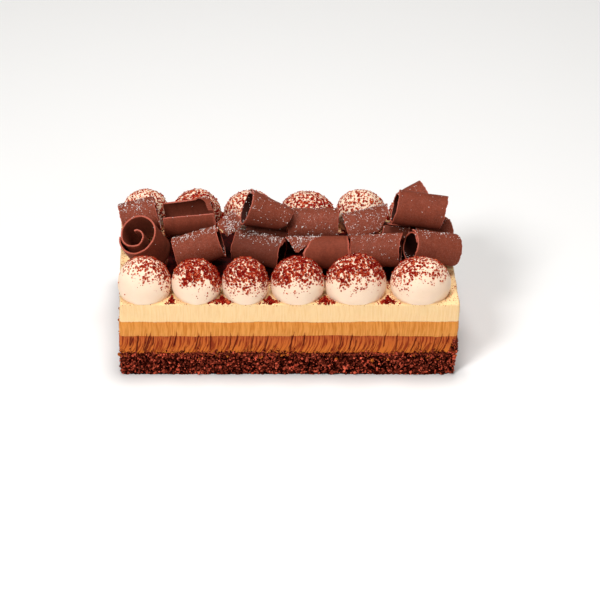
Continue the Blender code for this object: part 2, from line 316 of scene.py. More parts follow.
def knife_streaks(tree, given):
    """Fine upright streaks, as a knife leaves on a soft cut side. Streak is 0.5 on the whole, and each
    streak bends aside low down."""
    parts = add(tree, "ShaderNodeSeparateXYZ", {"Vector": place_on_cake(tree)}).outputs
    run = calc(tree, "ADD", parts["X"], parts["Y"])
    drop = calc(tree, "SUBTRACT", given["Bend From"], parts["Z"])
    bent = calc(tree, "MULTIPLY_ADD", calc(tree, "MULTIPLY", drop, drop), given["Bend"], run)
    across = calc(tree, "DIVIDE", bent, given["Streak Width"])
    along = calc(tree, "DIVIDE", parts["Z"], given["Streak Length"])
    spot = add(tree, "ShaderNodeCombineXYZ", {"X": across, "Y": along, "Z": 0.0}).outputs[0]
    return {"Streak": noise_texture(tree, spot, scale=1.0, detail=3.0, roughness=0.6)["Fac"]}


FLOAT, COLOUR = "NodeSocketFloat", "NodeSocketColor"
# The shader node groups that the materials share: what fills each, its inputs' defaults, and its outputs
GROUPS = {
    "Powder flecks": (
        powder_flecks,
        {"Cover": 0.5, "Fleck Size": 1.4 * MM, "Raggedness": 0.5, "Softness": 0.06},
        {"Mask": FLOAT, "Halo": FLOAT, "Own": FLOAT}),
    "Cocoa powder": (
        cocoa_powder,
        {"Thickness": 0.5, "Thin": (0.6, 0.15, 0.06, 1), "Middling": (0.26, 0.016, 0.01, 1),
         "Deep": (0.12, 0.02, 0.014, 1), "Grain Size": 1.0 * MM, "Unevenness": 0.9},
        {"Color": COLOUR}),
    "Mottle": (
        mottle,
        {"Colour A": (0, 0, 0, 1), "Colour B": (1, 1, 1, 1), "Patch Size": 4 * MM,
         "Grain Size": 0.7 * MM, "Grain Share": 0.5, "Contrast": 2.0},
        {"Color": COLOUR, "Fac": FLOAT}),
    "Knife streaks": (
        knife_streaks,
        {"Streak Width": 0.6 * MM, "Streak Length": 16 * MM, "Bend": 0.0, "Bend From": 0.0},
        {"Streak": FLOAT}),
}


def make_group(name):
    """One of the groups above, with its named sockets and the nodes that its function makes."""
    fill, inputs, outputs = GROUPS[name]
    tree = bpy.data.node_groups.new(name, "ShaderNodeTree")
    for label, default in inputs.items():
        kind = COLOUR if isinstance(default, tuple) else FLOAT
        tree.interface.new_socket(label, in_out="INPUT", socket_type=kind).default_value = default
    for label, kind in outputs.items():
        tree.interface.new_socket(label, in_out="OUTPUT", socket_type=kind)
    given = tree.nodes.new("NodeGroupInput").outputs
    feed(tree, tree.nodes.new("NodeGroupOutput").inputs, fill(tree, given))
    return tree


def use_group(tree, name, inputs):
    """Places a group in a material's tree, and gives its outputs. The group is made at its first use."""
    group = bpy.data.node_groups.get(name) or make_group(name)
    return add(tree, "ShaderNodeGroup", inputs, node_tree=group).outputs


def mottled(tree, dark, light, patch, grain, share, contrast):
    """A colour that drifts between these two in patches and grains of these sizes."""
    return use_group(tree, "Mottle", {
        "Colour A": dark, "Colour B": light, "Patch Size": patch, "Grain Size": grain,
        "Grain Share": share, "Contrast": contrast})["Color"]


def grainy(tree, patch, grain):
    """The height of a finely uneven surface, for a bump."""
    return use_group(tree, "Mottle", {
        "Patch Size": patch, "Grain Size": grain, "Grain Share": 0.5, "Contrast": 2.0})["Fac"]


def cocoa_colour(tree, cover, own):
    """Cocoa powder's colour where this much of it lies. own is a random value of the fleck's or clump's."""
    thickness = calc(tree, "MULTIPLY", calc(tree, "MULTIPLY_ADD", own, 0.85, 0.38),
                     calc(tree, "MULTIPLY_ADD", cover, 0.65, 0.35))
    return use_group(tree, "Cocoa powder", {
        "Thickness": thickness, "Thin": solid(colours().thin_cocoa), "Middling": solid(colours().cocoa),
        "Deep": solid(colours().deep_cocoa)})["Color"]


# ---- materials ----


def material(name, finish, *details):
    """The material of this name, made at its first use. finish makes its nodes, and gives its shader's
    inputs."""
    made = bpy.data.materials.get(name)
    if made is None:
        made = bpy.data.materials.new(name)
        made.use_nodes = True
        tree = made.node_tree
        feed(tree, tree.nodes["Principled BSDF"].inputs, finish(tree, *details))
    return made


def creamy(weight):
    """What lets light a little way into mousse and cream, red furthest."""
    return {
        "Subsurface Weight": weight,
        "Subsurface Radius": (1.0, 0.55, 0.3),
        "Subsurface Scale": 2.0 * MM,
    }


@dataclass
class Mousse:
    """A mousse layer and its cut side. The colours are shares of the layer's own red, green and blue."""

    name: str
    low: float  # the heights that it reaches from
    top: float  # and to
    seams: tuple  # the noise seeds of its lower and upper seam, or 0 where it has none
    crack: float  # how deep the cracks and streaks are cut into it, as shares of the sizes above
    streak: float
    dark: tuple  # the colour of dark streaks
    light: tuple  # and of light ones
    torn: tuple  # and of the bottom of a crack, painted darker as shade
    head: tuple  # and of all of them at the layer's top
    foot: tuple  # and at its foot
    bend: float  # how far a streak curves aside on its way down, in metres for each square metre of drop
    scatter: float  # how much light goes into it
    mottle: float  # how uneven its colour is
    streak_width: float = 1.00 * MM
    streak_low: float = 0.36  # what counts as the dark of a streak
    streak_high: float = 0.58  # and as its light
    streak_share: float = 0.72  # how much the streaks tell against the mottle


DARK_MOUSSE = Mousse(
    "dark_mousse", SPONGE_TOP, DARK_TOP, seams=(0, 2), crack=1.0, streak=1.6,
    dark=(0.48, 0.26, 0.4), light=(1.28, 1.66, 2.0), torn=(0.20, 0.05, 0.06), head=(0.92, 0.80, 1.1),
    foot=(1.12, 1.30, 1.0), bend=22.0, scatter=0.05, mottle=0.30,
    streak_width=1.10 * MM, streak_low=0.42, streak_high=0.54, streak_share=0.84)
MILK_MOUSSE = Mousse(
    "milk_mousse", DARK_TOP, MILK_TOP, seams=(2, 3), crack=0.7, streak=1.0,
    dark=(0.80, 0.68, 0.55), light=(1.12, 1.30, 1.75), torn=(0.40, 0.14, 0.1), head=(1.03, 0.95, 0.85),
    foot=(0.97, 0.97, 1.0), bend=2.0, scatter=0.12, mottle=0.07)
WHITE_MOUSSE = Mousse(
    "white_mousse", MILK_TOP, TOP, seams=(3, 0), crack=0.0, streak=0.45,
    dark=(0.95, 0.90, 0.84), light=(1.01, 1.04, 1.10), torn=(0.9, 0.8, 0.7), head=(1.0, 1.0, 1.0),
    foot=(1.0, 1.0, 1.0), bend=0.0, scatter=0.20, mottle=0.05)


def dusted_top(tree, bare):
    """The white top's cocoa: scattered flecks, and a thick drift of cocoa in the trough, painted near black
    as shade.
    """
    cover = stored(tree, "cocoa")
    flecks = use_group(tree, "Powder flecks", {"Cover": cover, "Fleck Size": 1.2 * MM})
    drift_shade_mask = remap(tree, cover, 0.85, 1.0)
    # the drift's colour is painted shade: each fleck near black, between the black of the sponge's pits and
    # a dark cocoa
    drift = blend(tree, flecks["Own"], solid(colours().sponge_pit), solid(colours().deep_cocoa, 0.35))
    powder = blend(tree, drift_shade_mask, cocoa_colour(tree, cover, flecks["Own"]), drift)
    return blend(tree, calc(tree, "MAXIMUM", flecks["Mask"], drift_shade_mask), bare, powder)


def mousse_finish(tree, mousse):
    """Smooth mousse, streaked where the knife went down through it, with painted shade darkening its
    cracks.
    """
    own = getattr(colours(), mousse.name)
    streak = use_group(tree, "Knife streaks", {
        "Streak Width": mousse.streak_width, "Streak Length": 14 * MM, "Bend": mousse.bend,
        "Bend From": mousse.top})["Streak"]
    contrast = remap(tree, streak, mousse.streak_low, mousse.streak_high)
    streaked = blend(tree, contrast, tinted(own, mousse.dark), tinted(own, mousse.light))
    plain = mottled(tree, solid(own, 1 - mousse.mottle), solid(own, 1 + mousse.mottle),
                    patch=6 * MM, grain=1.0 * MM, share=0.65, contrast=3.0)
    on_side = calc(tree, "SUBTRACT", 1.0, stored(tree, "top"))
    body = blend(tree, calc(tree, "MULTIPLY", on_side, mousse.streak_share), plain, streaked)
    height = add(tree, "ShaderNodeSeparateXYZ", {"Vector": place_on_cake(tree)}).outputs["Z"]
    rise = remap(tree, height, mousse.low, mousse.top)
    graded = blend(tree, rise, (*mousse.foot, 1.0), (*mousse.head, 1.0))
    body = blend(tree, 1.0, body, graded, mode="MULTIPLY")
    # painted shade: the cracks are darkened toward the colour given for a crack's bottom
    torn = blend(tree, remap(tree, stored(tree, "crack"), 0.15, 0.80), body, tinted(own, mousse.torn))
    return {
        "Base Color": dusted_top(tree, torn) if mousse is WHITE_MOUSSE else torn,
        "Roughness": 0.6,
        "Specular IOR Level": 0.08,
        "Normal": bumped(tree, streak, 0.05 * MM),
        **creamy(mousse.scatter),
    }


def mousse_material(mousse):
    return material(mousse.name + "_finish", mousse_finish, mousse)


def sponge_finish(tree):
    """Dark sponge: each crumb has its own shade, and the pits between them are painted nearly black as
    shade.
    """
    own = colours().sponge
    uneven = mottled(tree, tinted(own, (0.38, 0.30, 0.30)), tinted(own, (1.24, 1.65, 1.85)),
                     patch=2.2 * MM, grain=0.7 * MM, share=0.6, contrast=4.0)
    shade = calc(tree, "POWER", stored(tree, "shade"), 1.9)
    shades = blend(tree, shade, (0.03, 0.01, 0.01, 1.0), (1.5, 1.4, 1.4, 1.0))
    shaded = blend(tree, 1.0, uneven, shades, mode="MULTIPLY")
    return {
        "Base Color": blend(tree, stored(tree, "pit"), shaded, solid(colours().sponge_pit)),
        "Roughness": 0.8,
        "Specular IOR Level": 0.0,
        "Normal": bumped(tree, grainy(tree, 1.1 * MM, 0.35 * MM), 0.35 * MM),
    }


def cream_finish(tree):
    """Smooth pale cream, with flecks of cocoa as thick as the dome's own dusting says."""
    own = colours().cream
    pale = mottled(tree, solid(own, 0.97), solid(own, 1.03), patch=7 * MM, grain=1.5 * MM, share=0.3,
                   contrast=2.0)
    cover = stored(tree, "cocoa")
    powder = use_group(tree, "Powder flecks", {"Cover": cover, "Fleck Size": 1.5 * MM})
    # thin powder stains the cream, most round each fleck
    stain = calc(tree, "MULTIPLY_ADD", powder["Halo"], 0.24, calc(tree, "MULTIPLY", cover, 0.06))
    stained = blend(tree, stain, pale, solid(colours().thin_cocoa))
    return {
        "Base Color": blend(tree, powder["Mask"], stained, cocoa_colour(tree, cover, powder["Own"])),
        "Roughness": remap(tree, powder["Mask"], 0.0, 1.0, 0.42, 0.95),
        "Specular IOR Level": 0.03,
        "Normal": bumped(tree, powder["Mask"], 0.12 * MM),
        **creamy(0.10),
    }


def cocoa_clump_finish(tree):
    """Loose clumps of cocoa, of the colour that the powder round them has."""
    return {
        "Base Color": cocoa_colour(tree, stored(tree, "cocoa"), stored(tree, "shade")),
        "Roughness": 0.95,
        "Specular IOR Level": 0.0,
    }


def sugar_finish(tree):
    """Grains of sugar, each a little lighter or darker."""
    own = colours().sugar
    return {
        "Base Color": blend(tree, stored(tree, "shade"), solid(own, 0.7), solid(own, 1.1)),
        "Roughness": 0.35,
        "Specular IOR Level": 0.4,
    }


def chocolate_finish(tree):
    """Rolled chocolate: fine scrape lines round the roll, a pale bloom, sugar dust, and painted shade that
    darkens the inner face and, on some curls, the outer one.
    """
    own = colours().chocolate
    uneven = mottled(tree, solid(own, 0.80), solid(own, 1.24), patch=5 * MM, grain=0.9 * MM, share=0.7,
                     contrast=4.0)
    line = remap(tree, stored(tree, "scrape"), -1.0, 1.0)
    scraped = blend(tree, 0.30, uneven, blend(tree, line, solid(own, 0.72), solid(own, 1.35)))
    bloom = use_group(tree, "Powder flecks", {
        "Cover": stored(tree, "bloom"), "Fleck Size": 0.6 * MM, "Softness": 0.25})["Mask"]
    bloomed = blend(tree, calc(tree, "MULTIPLY", bloom, 0.35), scraped, solid(colours().bloom))
    dust = use_group(tree, "Powder flecks", {
        "Cover": stored(tree, "sugar"), "Fleck Size": 0.8 * MM, "Softness": 0.15})["Mask"]
    dusted = blend(tree, calc(tree, "MULTIPLY", dust, 0.45), bloomed, solid(colours().sugar_dust))
    return {
        # painted shade: the faces darkened toward near black as far as each curl's share says
        "Base Color": blend(tree, stored(tree, "lining"), dusted, tinted(own, (0.05, 0.03, 0.03))),
        "Roughness": 0.6,
        "Specular IOR Level": 0.07,
        "Normal": bumped(tree, grainy(tree, 1.6 * MM, 0.4 * MM), 0.05 * MM),
    }


def cut_edge_finish(tree):
    """The thin broken edge of a chocolate sheet, redder than its faces, and lighter as a painted highlight.
    """
    own = colours().cut_edge
    return {
        "Base Color": mottled(tree, solid(own, 0.65), solid(own, 1.35), patch=3 * MM, grain=0.5 * MM,
                              share=0.5, contrast=2.4),
        "Roughness": 0.5,
        "Specular IOR Level": 0.4,
    }


def floor_finish(tree):
    """A plain pale floor, with a trace of unevenness."""
    own = colours().floor
    return {
        "Base Color": mottled(tree, solid(own, 0.99), solid(own, 1.01), patch=90 * MM, grain=9 * MM,
                              share=0.2, contrast=1.0),
        "Roughness": 0.6,
        "Specular IOR Level": 0.2,
    }


# ---- meshes ----


def linked(name, data):
    """A new object in the scene."""
    obj = bpy.data.objects.new(name, data)
    bpy.context.scene.collection.objects.link(obj)
    return obj


def new_piece(name, data, slot, *nodes):
    """An object that rides on the cake and stands for these nodes, if any; slot is not used."""
    obj = linked(name, data)
    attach(obj, "root")
    if nodes:
        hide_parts(*nodes)


def store(data, name, values):
    """Keeps one value for each point of the mesh, for its material to read."""
    layer = data.attributes.new(name, "FLOAT", "POINT")
    layer.data.foreach_set("value", np.asarray(values, np.float32))


def mesh_from(name, points, faces, *materials, smooth=True):
    """A mesh of these points and faces. Its first material is on all of them."""
    data = bpy.data.meshes.new(name)
    data.from_pydata([tuple(point) for point in points], [], faces)
    for finish in materials:
        data.materials.append(finish)
    if smooth:
        data.shade_smooth()
    data.validate()
    return data


def outline(spacing):
    """Points round the block as (x, y, outward x, outward y), anticlockwise from the front left corner."""
    half_x = LENGTH / 2 - CORNER_RADIUS
    half_y = DEPTH / 2 - CORNER_RADIUS
    corners = [(-half_x, -half_y), (half_x, -half_y), (half_x, half_y), (-half_x, half_y)]
    points = []
    for side, (corner_x, corner_y) in enumerate(corners):
        for step in range(CORNER_STEPS + 1):
            angle = math.radians(180 + 90 * side + 90 * step / CORNER_STEPS)
            out_x, out_y = math.cos(angle), math.sin(angle)
            x, y = corner_x + CORNER_RADIUS * out_x, corner_y + CORNER_RADIUS * out_y
            points.append((x, y, out_x, out_y))
        start_x, start_y, out_x, out_y = points[-1]
        next_x, next_y = corners[(side + 1) % 4]
        run_x = next_x + CORNER_RADIUS * out_x - start_x
        run_y = next_y + CORNER_RADIUS * out_y - start_y
        steps = round(math.hypot(run_x, run_y) / spacing)
        for step in range(1, steps):
            part = step / steps
            points.append((start_x + run_x * part, start_y + run_y * part, out_x, out_y))
    return points


def lean(x, z):
    """How far a point of the block is shifted along X, as its ends lean and its left end spreads."""
    near_left = min(1.0, max(0.0, (-x - FLARE_FROM) / FLARE_RUN))
    return END_LEAN * (z - TOP / 2) - LEFT_FLARE * (1 + FLARE_AT_TOP - z / TOP) * near_left


def on_side(x, y, out_x, out_y, out, z):
    """The point at height z that is this far outward from a point of the skewed outline."""
    return x + out_x * out + lean(x, z), y + out_y * out, z


def level(z):
    """The height of a flat ring."""
    return lambda x, y: z


def slab_mesh(name, rows, finish, marks):
    """A closed layer of rings, lowest first: (height at (x, y), offset at (x, y, z), inset) each. offset
    gives (metres outward, its values for marks), and inset is how far in from the outline the ring is."""
    around = outline(SIDE_STEP)
    points, kept = [], []
    for height, offset, inset in rows:
        for x, y, out_x, out_y in around:
            x, y = x * (1 - 2 * inset / LENGTH), y * (1 - 2 * inset / DEPTH)
            x += CUT_SKEW * y
            z = height(x, y)
            out, mark = offset(x, y, z)
            points.append(on_side(x, y, out_x, out_y, out, z))
            kept.append(mark)
    count = len(around)
    faces = []
    for row in range(len(rows) - 1):
        low, high = row * count, (row + 1) * count
        faces += [(low + i, low + (i + 1) % count, high + (i + 1) % count, high + i) for i in range(count)]
    faces.append(tuple(reversed(range(count))))
    faces.append(tuple(range((len(rows) - 1) * count, len(rows) * count)))
    data = mesh_from(name, points, faces, finish)
    data.set_sharp_from_angle(angle=SHARP_EDGE)
    for mark_name, values in zip(marks, np.array(kept, float).T):
        store(data, mark_name, values)
    return data


# ---- grains of every kind ----


GRAIN_STEP = 0.35 * MM  # between the places round the block where a grain may stick
# A rough chip with eight sides, the shape of most crumbs and clumps
CHIP = (np.array([(0.5, 0, 0), (-0.5, 0, 0), (0, 0.5, 0), (0, -0.5, 0), (0, 0, 0.5), (0, 0, -0.5)]),
        [(0, 2, 4), (2, 1, 4), (1, 3, 4), (3, 0, 4), (2, 0, 5), (1, 2, 5), (3, 1, 5), (0, 3, 5)])


def grain_shape(make, **how):
    """The points and faces of one grain, about 1 across, from a bmesh operator that makes a solid."""
    mesh = bmesh.new()
    make(mesh, **how)
    points = np.array([vertex.co[:] for vertex in mesh.verts])
    faces = [tuple(vertex.index for vertex in face.verts) for face in mesh.faces]
    mesh.free()
    return points, faces


def random_turns(draw, count):
    """Rotation matrices, one for each grain, in every direction alike."""
    turns = draw.normal(size=(4, count))
    w, x, y, z = turns / np.linalg.norm(turns, axis=0)
    return np.stack([
        np.stack([1 - 2 * (y * y + z * z), 2 * (x * y - z * w), 2 * (x * z + y * w)], -1),
        np.stack([2 * (x * y + z * w), 1 - 2 * (x * x + z * z), 2 * (y * z - x * w)], -1),
        np.stack([2 * (x * z - y * w), 2 * (y * z + x * w), 1 - 2 * (x * x + y * y)], -1)], 1)


def scattered(name, draw, places, widths, shape, finish, slot, uneven, smooth=False, marks=None):
    """One joined mesh of grains, each turned at random, and stretched and knocked out of shape as far as
    uneven says. marks gives each grain's value under a name that its material reads."""
    points, faces = shape
    count = len(places)
    stretch = 1 + uneven * draw.uniform(-1, 1, size=(count, 1, 3))
    knocks = 1 + uneven * draw.uniform(-0.6, 0.6, size=(count, len(points), 1))
    local = points[None] * stretch * knocks * np.array(widths)[:, None, None]
    turned = np.einsum("nij,npj->npi", random_turns(draw, count), local)
    world = (turned + np.array(places)[:, None, :]).reshape(-1, 3)
    joined = []
    for grain in range(count):
        first = grain * len(points)
        joined += [tuple(first + corner for corner in face) for face in faces]
    data = mesh_from(name, world, joined, finish, smooth=smooth)
    store(data, "shade", np.repeat(draw.uniform(0, 1, size=count), len(points)))
    for mark, values in (marks or {}).items():
        store(data, mark, np.repeat(values, len(points)))
    new_piece(name, data, slot)


def random_spot(draw, around):
    """A random point of an outline, moved to where the skewed block has it."""
    x, y, out_x, out_y = around[draw.integers(len(around))]
    return x + CUT_SKEW * y, y, out_x, out_y


def sprinkle(obj, draw, count, density):
    """Random places on an object's faces, as likely as density(centre, normal) says, with their normals."""
    data = obj.data
    data.calc_loop_triangles()
    corners = np.array([[data.vertices[i].co[:] for i in tri.vertices] for tri in data.loop_triangles])
    crossed = np.cross(corners[:, 1] - corners[:, 0], corners[:, 2] - corners[:, 0])
    area = np.linalg.norm(crossed, axis=1)
    normals = crossed / np.maximum(area, 1e-15)[:, None]
    centres = corners.mean(1)
    chance = area * np.array([density(Vector(c), Vector(n)) for c, n in zip(centres, normals)])
    picked = draw.choice(len(area), size=count, p=chance / chance.sum())
    u, v = draw.random((2, count))
    folded = u + v > 1
    u, v = np.where(folded, 1 - u, u), np.where(folded, 1 - v, v)
    base = corners[picked]
    places = base[:, 0] + u[:, None] * (base[:, 1] - base[:, 0]) + v[:, None] * (base[:, 2] - base[:, 0])
    return places, normals[picked]


# ---- the sponge ----


CRUMB_LOSS = 0.5 * MM  # how far its sides have crumbled back
END_LOSS = 1.0 * MM  # and how much further at the cake's two ends
END_LOSS_FROM, END_LOSS_FULL = LENGTH / 2 - 4 * MM, LENGTH / 2 - 2.5 * MM
CRAG_LAYERS = ((0.28, 4.5 * MM, 1), (0.168, 11 * MM, 5))
CRUMB_LAYERS = ((0.70, 1.7 * MM, 8), (0.40, 1.0 * MM, 9))
WORN_EDGE = 1.4 * MM  # how far its upper edge is worn down, on the whole
WEAR_LAYERS = ((0.7 * MM, 6 * MM, 2), (0.35 * MM, 1.6 * MM, 3))
WORN_RINGS = 3  # the rings of the side that the worn edge takes away
UNDER_MOUSSE = 0.2 * MM  # the gap under the mousse


def crag(x, y, z):
    """How far the sponge's side stands out here, from about -1 to 1: crags with crumbs on them."""
    return layered(x, y, z, CRAG_LAYERS) + layered(x, y, z, CRUMB_LAYERS, crumbly)


def lost(x):
    """How far the sponge has crumbled back here."""
    return CRUMB_LOSS + END_LOSS * ease(abs(x), END_LOSS_FROM, END_LOSS_FULL)


def sponge_side(depth):
    """The offset of a crumbly side with crags of this depth, with each point's shade and the painted shade
    of the pits, which grows where the side dips in."""

    def offset(x, y, z):
        lump = crag(x, y, z)
        shade = 0.28 + 0.28 * rough(x, y, z, 1.3 * MM, 12)
        # the second mark is painted shade, darker where the side dips in
        return depth * lump - lost(x), (shade, float(ease(-lump, -0.35, 0.25)))

    return offset


def worn_edge(x, y):
    """The height of the sponge's upper edge."""
    return SPONGE_TOP - WORN_EDGE - layered(x, y, 0.0, WEAR_LAYERS)


def build_sponge():
    depth = sizes().crag
    rings = round(SPONGE_TOP / SIDE_STEP)
    rows = []
    for ring in range(rings - WORN_RINGS):
        part = ring / rings
        near_foot = min(1.0, 6 * part)
        rows.append((level(part * SPONGE_TOP), sponge_side((0.55 + 0.45 * near_foot) * depth), 0.0))
    rows.append((worn_edge, sponge_side(0.8 * depth), 0.0))
    # the ring hidden under the mousse gets much painted shade
    rows.append((level(SPONGE_TOP - UNDER_MOUSSE), lambda x, y, z: (0.0, (0.5, 0.8)), SEAM_INSET))
    data = slab_mesh("sponge_cut", rows, material("sponge_finish", sponge_finish), ("shade", "pit"))
    new_piece("sponge_cut", data, "sponge", "sponge")


LARGEST_CRUMB = 2.2  # as a share of a middling one
CLIMBING = 0.40  # the share of the crumbs that climb over the seam
CLIMB_FROM = SPONGE_TOP - 2.0 * MM
LEAST_CLIMB, SPIKE_CLIMB = 1.6 * MM, 4.2 * MM  # the climb between the spikes, and what a spike adds
SPIKE_LAYERS = ((0.5, 1.7 * MM, 15), (0.35, 6 * MM, 16))
LOWEST_CRUMB, HIGHEST_CRUMB = 0.3 * MM, SPONGE_TOP - 0.5 * MM  # of those that don't climb
CORNER_CRUMBS = 260
CORNER_PATCH = (5 * MM, 10.5 * MM)  # how wide and high they reach
CORNER_SINK = (-0.3 * MM, 0.2 * MM)  # how far they sit in, along X and Y


def spiky(x, y):
    """How far the sponge's crumbs climb up over the brown mousse, from 0 to 1, along the cut side."""
    return float(np.clip(0.5 + layered(x + y, 0.0, 0.0, SPIKE_LAYERS), 0.0, 1.0))


def side_crumb(draw, around):
    """A crumb stuck to the cut side, or one that climbs in a small spike up over the mousse, as (place,
    width, how much painted shade of the pits it takes)."""
    x, y, out_x, out_y = random_spot(draw, around)
    climbs = draw.random() < CLIMBING
    width = sizes().crumb * min(draw.lognormal(0.0, 0.30), LARGEST_CRUMB)
    if climbs:
        share_up = draw.random() ** 1.5
        z = CLIMB_FROM + share_up * (LEAST_CLIMB + SPIKE_CLIMB * spiky(x, y) ** 2)
        width *= 0.95 - 0.4 * share_up
        out = (0.05 - 0.35 * draw.random()) * width - (lost(x) - CRUMB_LOSS)
    else:
        z = draw.uniform(LOWEST_CRUMB, HIGHEST_CRUMB)
        out = sizes().crag * crag(x, y, z) - lost(x) + (0.05 + 0.25 * draw.random()) * width
    z = max(z, 0.9 * width)
    # crumbs that climb over the seam get more painted shade than those on the side
    pit = 0.15 + 0.7 * draw.random() if climbs else 0.25 * draw.random()
    return on_side(x, y, out_x, out_y, out, z), width, pit


def corner_crumb(draw):
    """A crumb where the knife dragged them up the front right corner, as side_crumb gives it."""
    corner_x, corner_y = LENGTH / 2 - CUT_SKEW * DEPTH / 2, -DEPTH / 2
    wide, high = CORNER_PATCH
    up = draw.random() ** 1.3
    along = draw.uniform(-1.0, 0.8) * (1 - 0.5 * up) * wide
    z = SPONGE_TOP - 1 * MM + up * high
    x, y = (corner_x + along, corner_y) if along < 0 else (corner_x, corner_y + along)
    place = (x + CORNER_SINK[0] + lean(x, z), y + CORNER_SINK[1], z)
    # these crumbs get painted shade of up to 0.8
    return place, sizes().crumb * draw.lognormal(0.0, 0.3), 0.8 * draw.random()


def build_crumbs():
    draw = np.random.default_rng(11)
    around = outline(GRAIN_STEP)
    crumbs = [side_crumb(draw, around) for _ in range(sizes().crumbs)]
    crumbs += [corner_crumb(draw) for _ in range(CORNER_CRUMBS)]
    places, widths, pits = zip(*crumbs)
    scattered("sponge_crumbs", draw, places, widths, CHIP, material("sponge_finish", sponge_finish),
              "sponge", uneven=0.45, marks={"pit": pits})


# ---- the mousses ----


MOUSSE_ROW = 0.75 * MM  # between the rings of a side
SWELL = 0.15 * MM  # how far a side swells between its seams
SMOOTHING_DEPTH, SMOOTHING_SIZE = 0.2 * MM, 9 * MM  # how the knife has smeared it in and out
STREAK_LAYERS = ((1.0, 0.9 * MM, 21), (0.8, 2.3 * MM, 22))
STREAK_STRETCH = 0.06  # how fast a streak changes on its way up
SEAM_WANDER, SEAM_SIZE = 0.45 * MM, 30 * MM  # how a seam wanders up and down
SEAM_JAG = 0.16 * MM  # and how jagged it is
FOOT_DROP = 0.5 * MM  # how far the brown mousse comes down over the sponge
FOOT_LAYERS = ((0.55 * MM, 0.9 * MM, 33), (0.44 * MM, 2.6 * MM, 34))
EDGE_ROUND = 1.2 * MM  # the radius of the white top's edge
EDGE_SHARES = (0.0, 0.35, 0.65, 0.87, 1.0)
TOP_UNEVEN = 0.12 * MM  # how far the white top goes up and down
TOP_INSETS = (1.8, 2.6, 3.6, 5.0, 7.0, 9.5, 12.5, 16.0, 20.0, 26.0, 33.0, 41.0)  # of the top's rings, in mm

# cocoa lies thick in the trough; where it is thickest the white top's finish paints it near black as shade
DRIFT_WIDTH = (24 * MM, 33 * MM)  # how far from the middle line the cocoa in the trough thins, and ends
DRIFT_LENGTH = (70 * MM, 84 * MM)  # and how far from the middle along the cake
DRIFT_DEPTH = 1.1  # how much lies there, where 1 hides all
THINNEST_DUST, PATCHY_DUST = 0.05, 0.22  # the dust all over the top, and what its patches add

CRACK_GAP = 3.7 * MM  # between two cracks, on the whole
LONG_CRACKS = 0.30  # the share of them that reach up into the caramel mousse


def make_cracks(draw):
    """The torn cracks round the brown mousse: rows of their places along the side, tops, bottoms, widths,
    depths as shares, and how far they bend."""
    found = []
    for along, across in ((LENGTH, DEPTH), (DEPTH, LENGTH)):
        for side in (-across / 2, across / 2):
            run = -along / 2
            while run < along / 2:
                run += CRACK_GAP * draw.lognormal(0.0, 0.8)
                is_long = draw.random() < LONG_CRACKS
                rise = draw.uniform(0.5, 6.5) if is_long else -draw.uniform(0.5, 6.0)
                bottom = draw.uniform(-1.0, 5.0)
                width = draw.uniform(0.28, 0.50) * (1.0 if is_long else 0.75)
                depth = draw.uniform(0.75, 1.1) if is_long else draw.uniform(0.3, 0.9)
                bend = draw.uniform(0.2, 4.5)
                found.append((run + side, DARK_TOP + rise * MM, SPONGE_TOP + bottom * MM, width * MM, depth,
                              bend * MM))
    return np.array(found).T


def crack_at(cracks, x, y, z):
    """How deep the cracks are here, from 0 to 1. Each bends aside on its way down, and thins out upward."""
    place, top, bottom, width, depth, bend = cracks
    drop = np.clip((top - z) / (top - SPONGE_TOP), 0, 1)
    thin = 1 - 0.6 * ease(z, DARK_TOP - 1 * MM, DARK_TOP + 3 * MM)
    wander = 0.22 * MM * rough(x + y, 0.0, z, 3.0 * MM, 35)
    away = x + y + wander - (place - bend * drop ** 1.5)
    near = np.exp(-(away / (width * thin)) ** 2)
    within = ease(z, bottom - 1 * MM, bottom + 1 * MM) * ease(-z, -top, 3.5 * MM - top)
    return min(1.0, float((near * within * depth).max()))


def cut_face(mousse, cracks):
    """The offset of a mousse's side, which swells between its seams and carries the knife's streaks and
    cracks, with each point's crack, top and cocoa."""

    def offset(x, y, z):
        part = (z - mousse.low) / (mousse.top - mousse.low)
        swell = SWELL * (1 - 2 * abs(2 * part - 1))
        smear = SMOOTHING_DEPTH * rough(x, y, z, SMOOTHING_SIZE, 3 + mousse.seams[0])
        run = x + y + mousse.bend * (mousse.top - z) ** 2
        streak = sizes().streak * mousse.streak * layered(run, 0.0, z * STREAK_STRETCH, STREAK_LAYERS)
        crack = crack_at(cracks, x, y, z) if mousse.crack else 0.0
        return swell + smear + streak - sizes().crack * mousse.crack * crack, (crack, 0.0, 0.0)

    return offset


def hidden(top):
    """The offset of a ring that a neighbour hides. top is 1 at the upper end of a layer."""
    return lambda x, y, z: (0.0, (0.0, top, 0.0))


def seam_line(z, seed):
    """The height of the seam between two layers at the cut face, which wanders a little and is jagged."""

    def height(x, y):
        jag = rough(x + y, 0.0, 0.0, 1.1 * MM, 31 + seed) + rough(x + y, 0.0, 0.0, 3.2 * MM, 41 + seed)
        return z + SEAM_WANDER * rough(x, y, 0.0, SEAM_SIZE, seed) + SEAM_JAG * jag

    return height


def ragged_foot(x, y):
    """The height of the brown mousse's foot, where it meets the crumbs."""
    return SPONGE_TOP - FOOT_DROP + layered(x + y, 0.0, 0.0, FOOT_LAYERS)


def top_height(z):
    """The height of the white top or its rounded edge, a little uneven."""
    uneven = TOP_UNEVEN * ease(z, TOP - EDGE_ROUND, TOP)
    return lambda x, y: z - uneven * (1 + rough(x, y, 0.0, 14 * MM, 51))


def rounded_edge(face, share_up):
    """The offset of the white top's edge at this share of its quarter turn."""
    back = EDGE_ROUND * (1 - math.cos(math.pi / 2 * share_up))

    def offset(x, y, z):
        return face(x, y, z)[0] * (1 - share_up) - back, (0.0, share_up, dust_on_top(x, y))

    return offset


